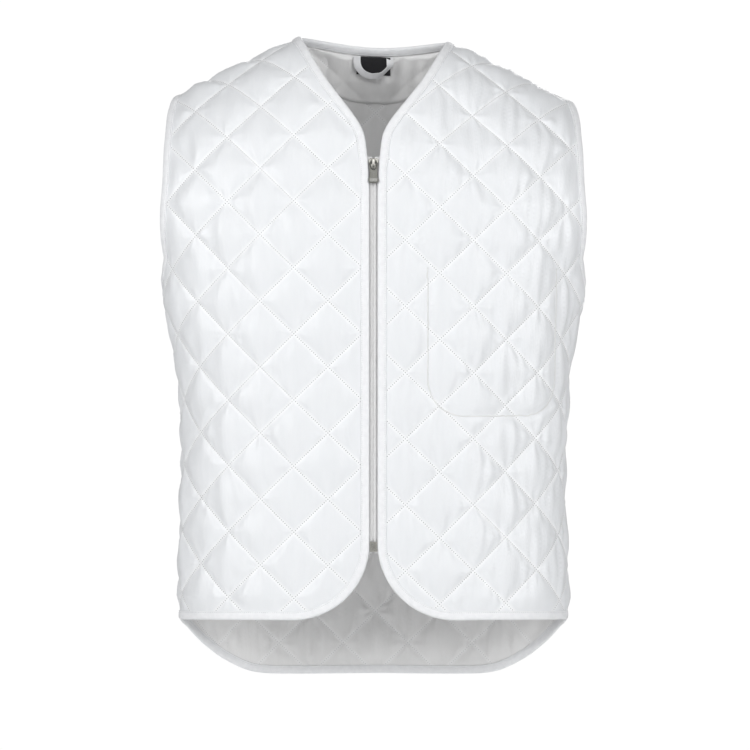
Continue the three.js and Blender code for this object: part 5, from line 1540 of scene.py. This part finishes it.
facing = thin_piece("facing_cloth", FACING_OUTLINE, BACK, BACK_QUILT, facing_height, 0.6, LINING_CLOTH)
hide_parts("neck_facing")
pocket_cloth = thin_piece("pocket_cloth", pocket_outline(), FRONT, LEFT_QUILT, pocket_height, 0.5, LINING_CLOTH,
                          cell=4.0)
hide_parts("inner_pocket")
add_label()
add_loop()
add_zip_tapes()
add_coils()
add_seams()
add_pocket_seam()
softened_copy("zip_slider", "slider_metal", METAL, "gilet", 0.22)
softened_copy("zip_box", "box_metal", METAL, "gilet", 0.35)
add_puller()

# Studio: a pale floor, soft lights, and the camera of the photograph

CAMERA_FAR = 3.5
CAMERA_LEVEL = -0.364
FRAME_WIDE = 0.9
FLOOR_Z = -1.45
FLOOR_REACH = 3.6

floor_mesh = bpy.data.meshes.new("floor")
floor_mesh.from_pydata([(FLOOR_REACH * math.cos(k * math.pi / 64), FLOOR_REACH * math.sin(k * math.pi / 64), FLOOR_Z)
                        for k in range(128)], [], [tuple(range(128))])
floor = bpy.data.objects.new("floor", floor_mesh)
bpy.context.scene.collection.objects.link(floor)
floor_look, floor_tree, floor_shader = new_material("pale_floor")
floor_noise = node(floor_tree, "ShaderNodeTexNoise", {"Scale": 3.0})
floor_tree.links.new(ramp(floor_tree, floor_noise.outputs[0], [(0.0, (0.93, 0.93, 0.93)), (1.0, (0.96, 0.96, 0.96))]),
                     floor_shader.inputs["Base Color"])
floor_shader.inputs["Roughness"].default_value = 0.9
floor_mesh.materials.append(floor_look)

world = bpy.data.worlds.new("studio") if bpy.context.scene.world is None else bpy.context.scene.world
bpy.context.scene.world = world
world.use_nodes = True
backdrop = world.node_tree.nodes["Background"]
backdrop.inputs[0].default_value = (1.0, 1.0, 1.0, 1)
seen = node(world.node_tree, "ShaderNodeLightPath").outputs["Is Camera Ray"]
AMBIENT = 0.28
SEEN_WHITE = 1.02
world.node_tree.links.new(maths(world.node_tree, "MULTIPLY_ADD", seen, SEEN_WHITE - AMBIENT, AMBIENT),
                          backdrop.inputs[1])


def soft_light(name, place, target, size, power):
    lamp = bpy.data.lights.new(name, "AREA")
    lamp.shape = "RECTANGLE"
    lamp.size, lamp.size_y = size
    lamp.energy = power
    obj = bpy.data.objects.new(name, lamp)
    obj.location = place
    obj.rotation_euler = (Vector(target) - Vector(place)).to_track_quat("-Z", "Y").to_euler()
    bpy.context.scene.collection.objects.link(obj)
    return obj


MIDDLE = (0.0, 0.0, -0.36)
soft_light("left_box", (-2.6, -2.5, 0.6), MIDDLE, (1.1, 1.8), 54)
soft_light("right_box", (2.6, -2.8, 0.4), MIDDLE, (1.2, 1.8), 52)
soft_light("front_top", (0.0, -3.2, 1.6), MIDDLE, (2.0, 1.0), 24)
soft_light("behind", (0.5, 3.0, 0.5), MIDDLE, (2.0, 1.6), 45)

camera_data = bpy.data.cameras.new("camera")
camera_data.sensor_width = 36
camera_data.lens = 36 * CAMERA_FAR / FRAME_WIDE
camera_data.clip_end = 100
camera = bpy.data.objects.new("camera", camera_data)
camera.location = (0.0018, -CAMERA_FAR, CAMERA_LEVEL)
camera.rotation_euler = (math.pi / 2, 0, 0)
bpy.context.scene.collection.objects.link(camera)
bpy.context.scene.camera = camera
bpy.context.scene.view_settings.view_transform = "Standard"
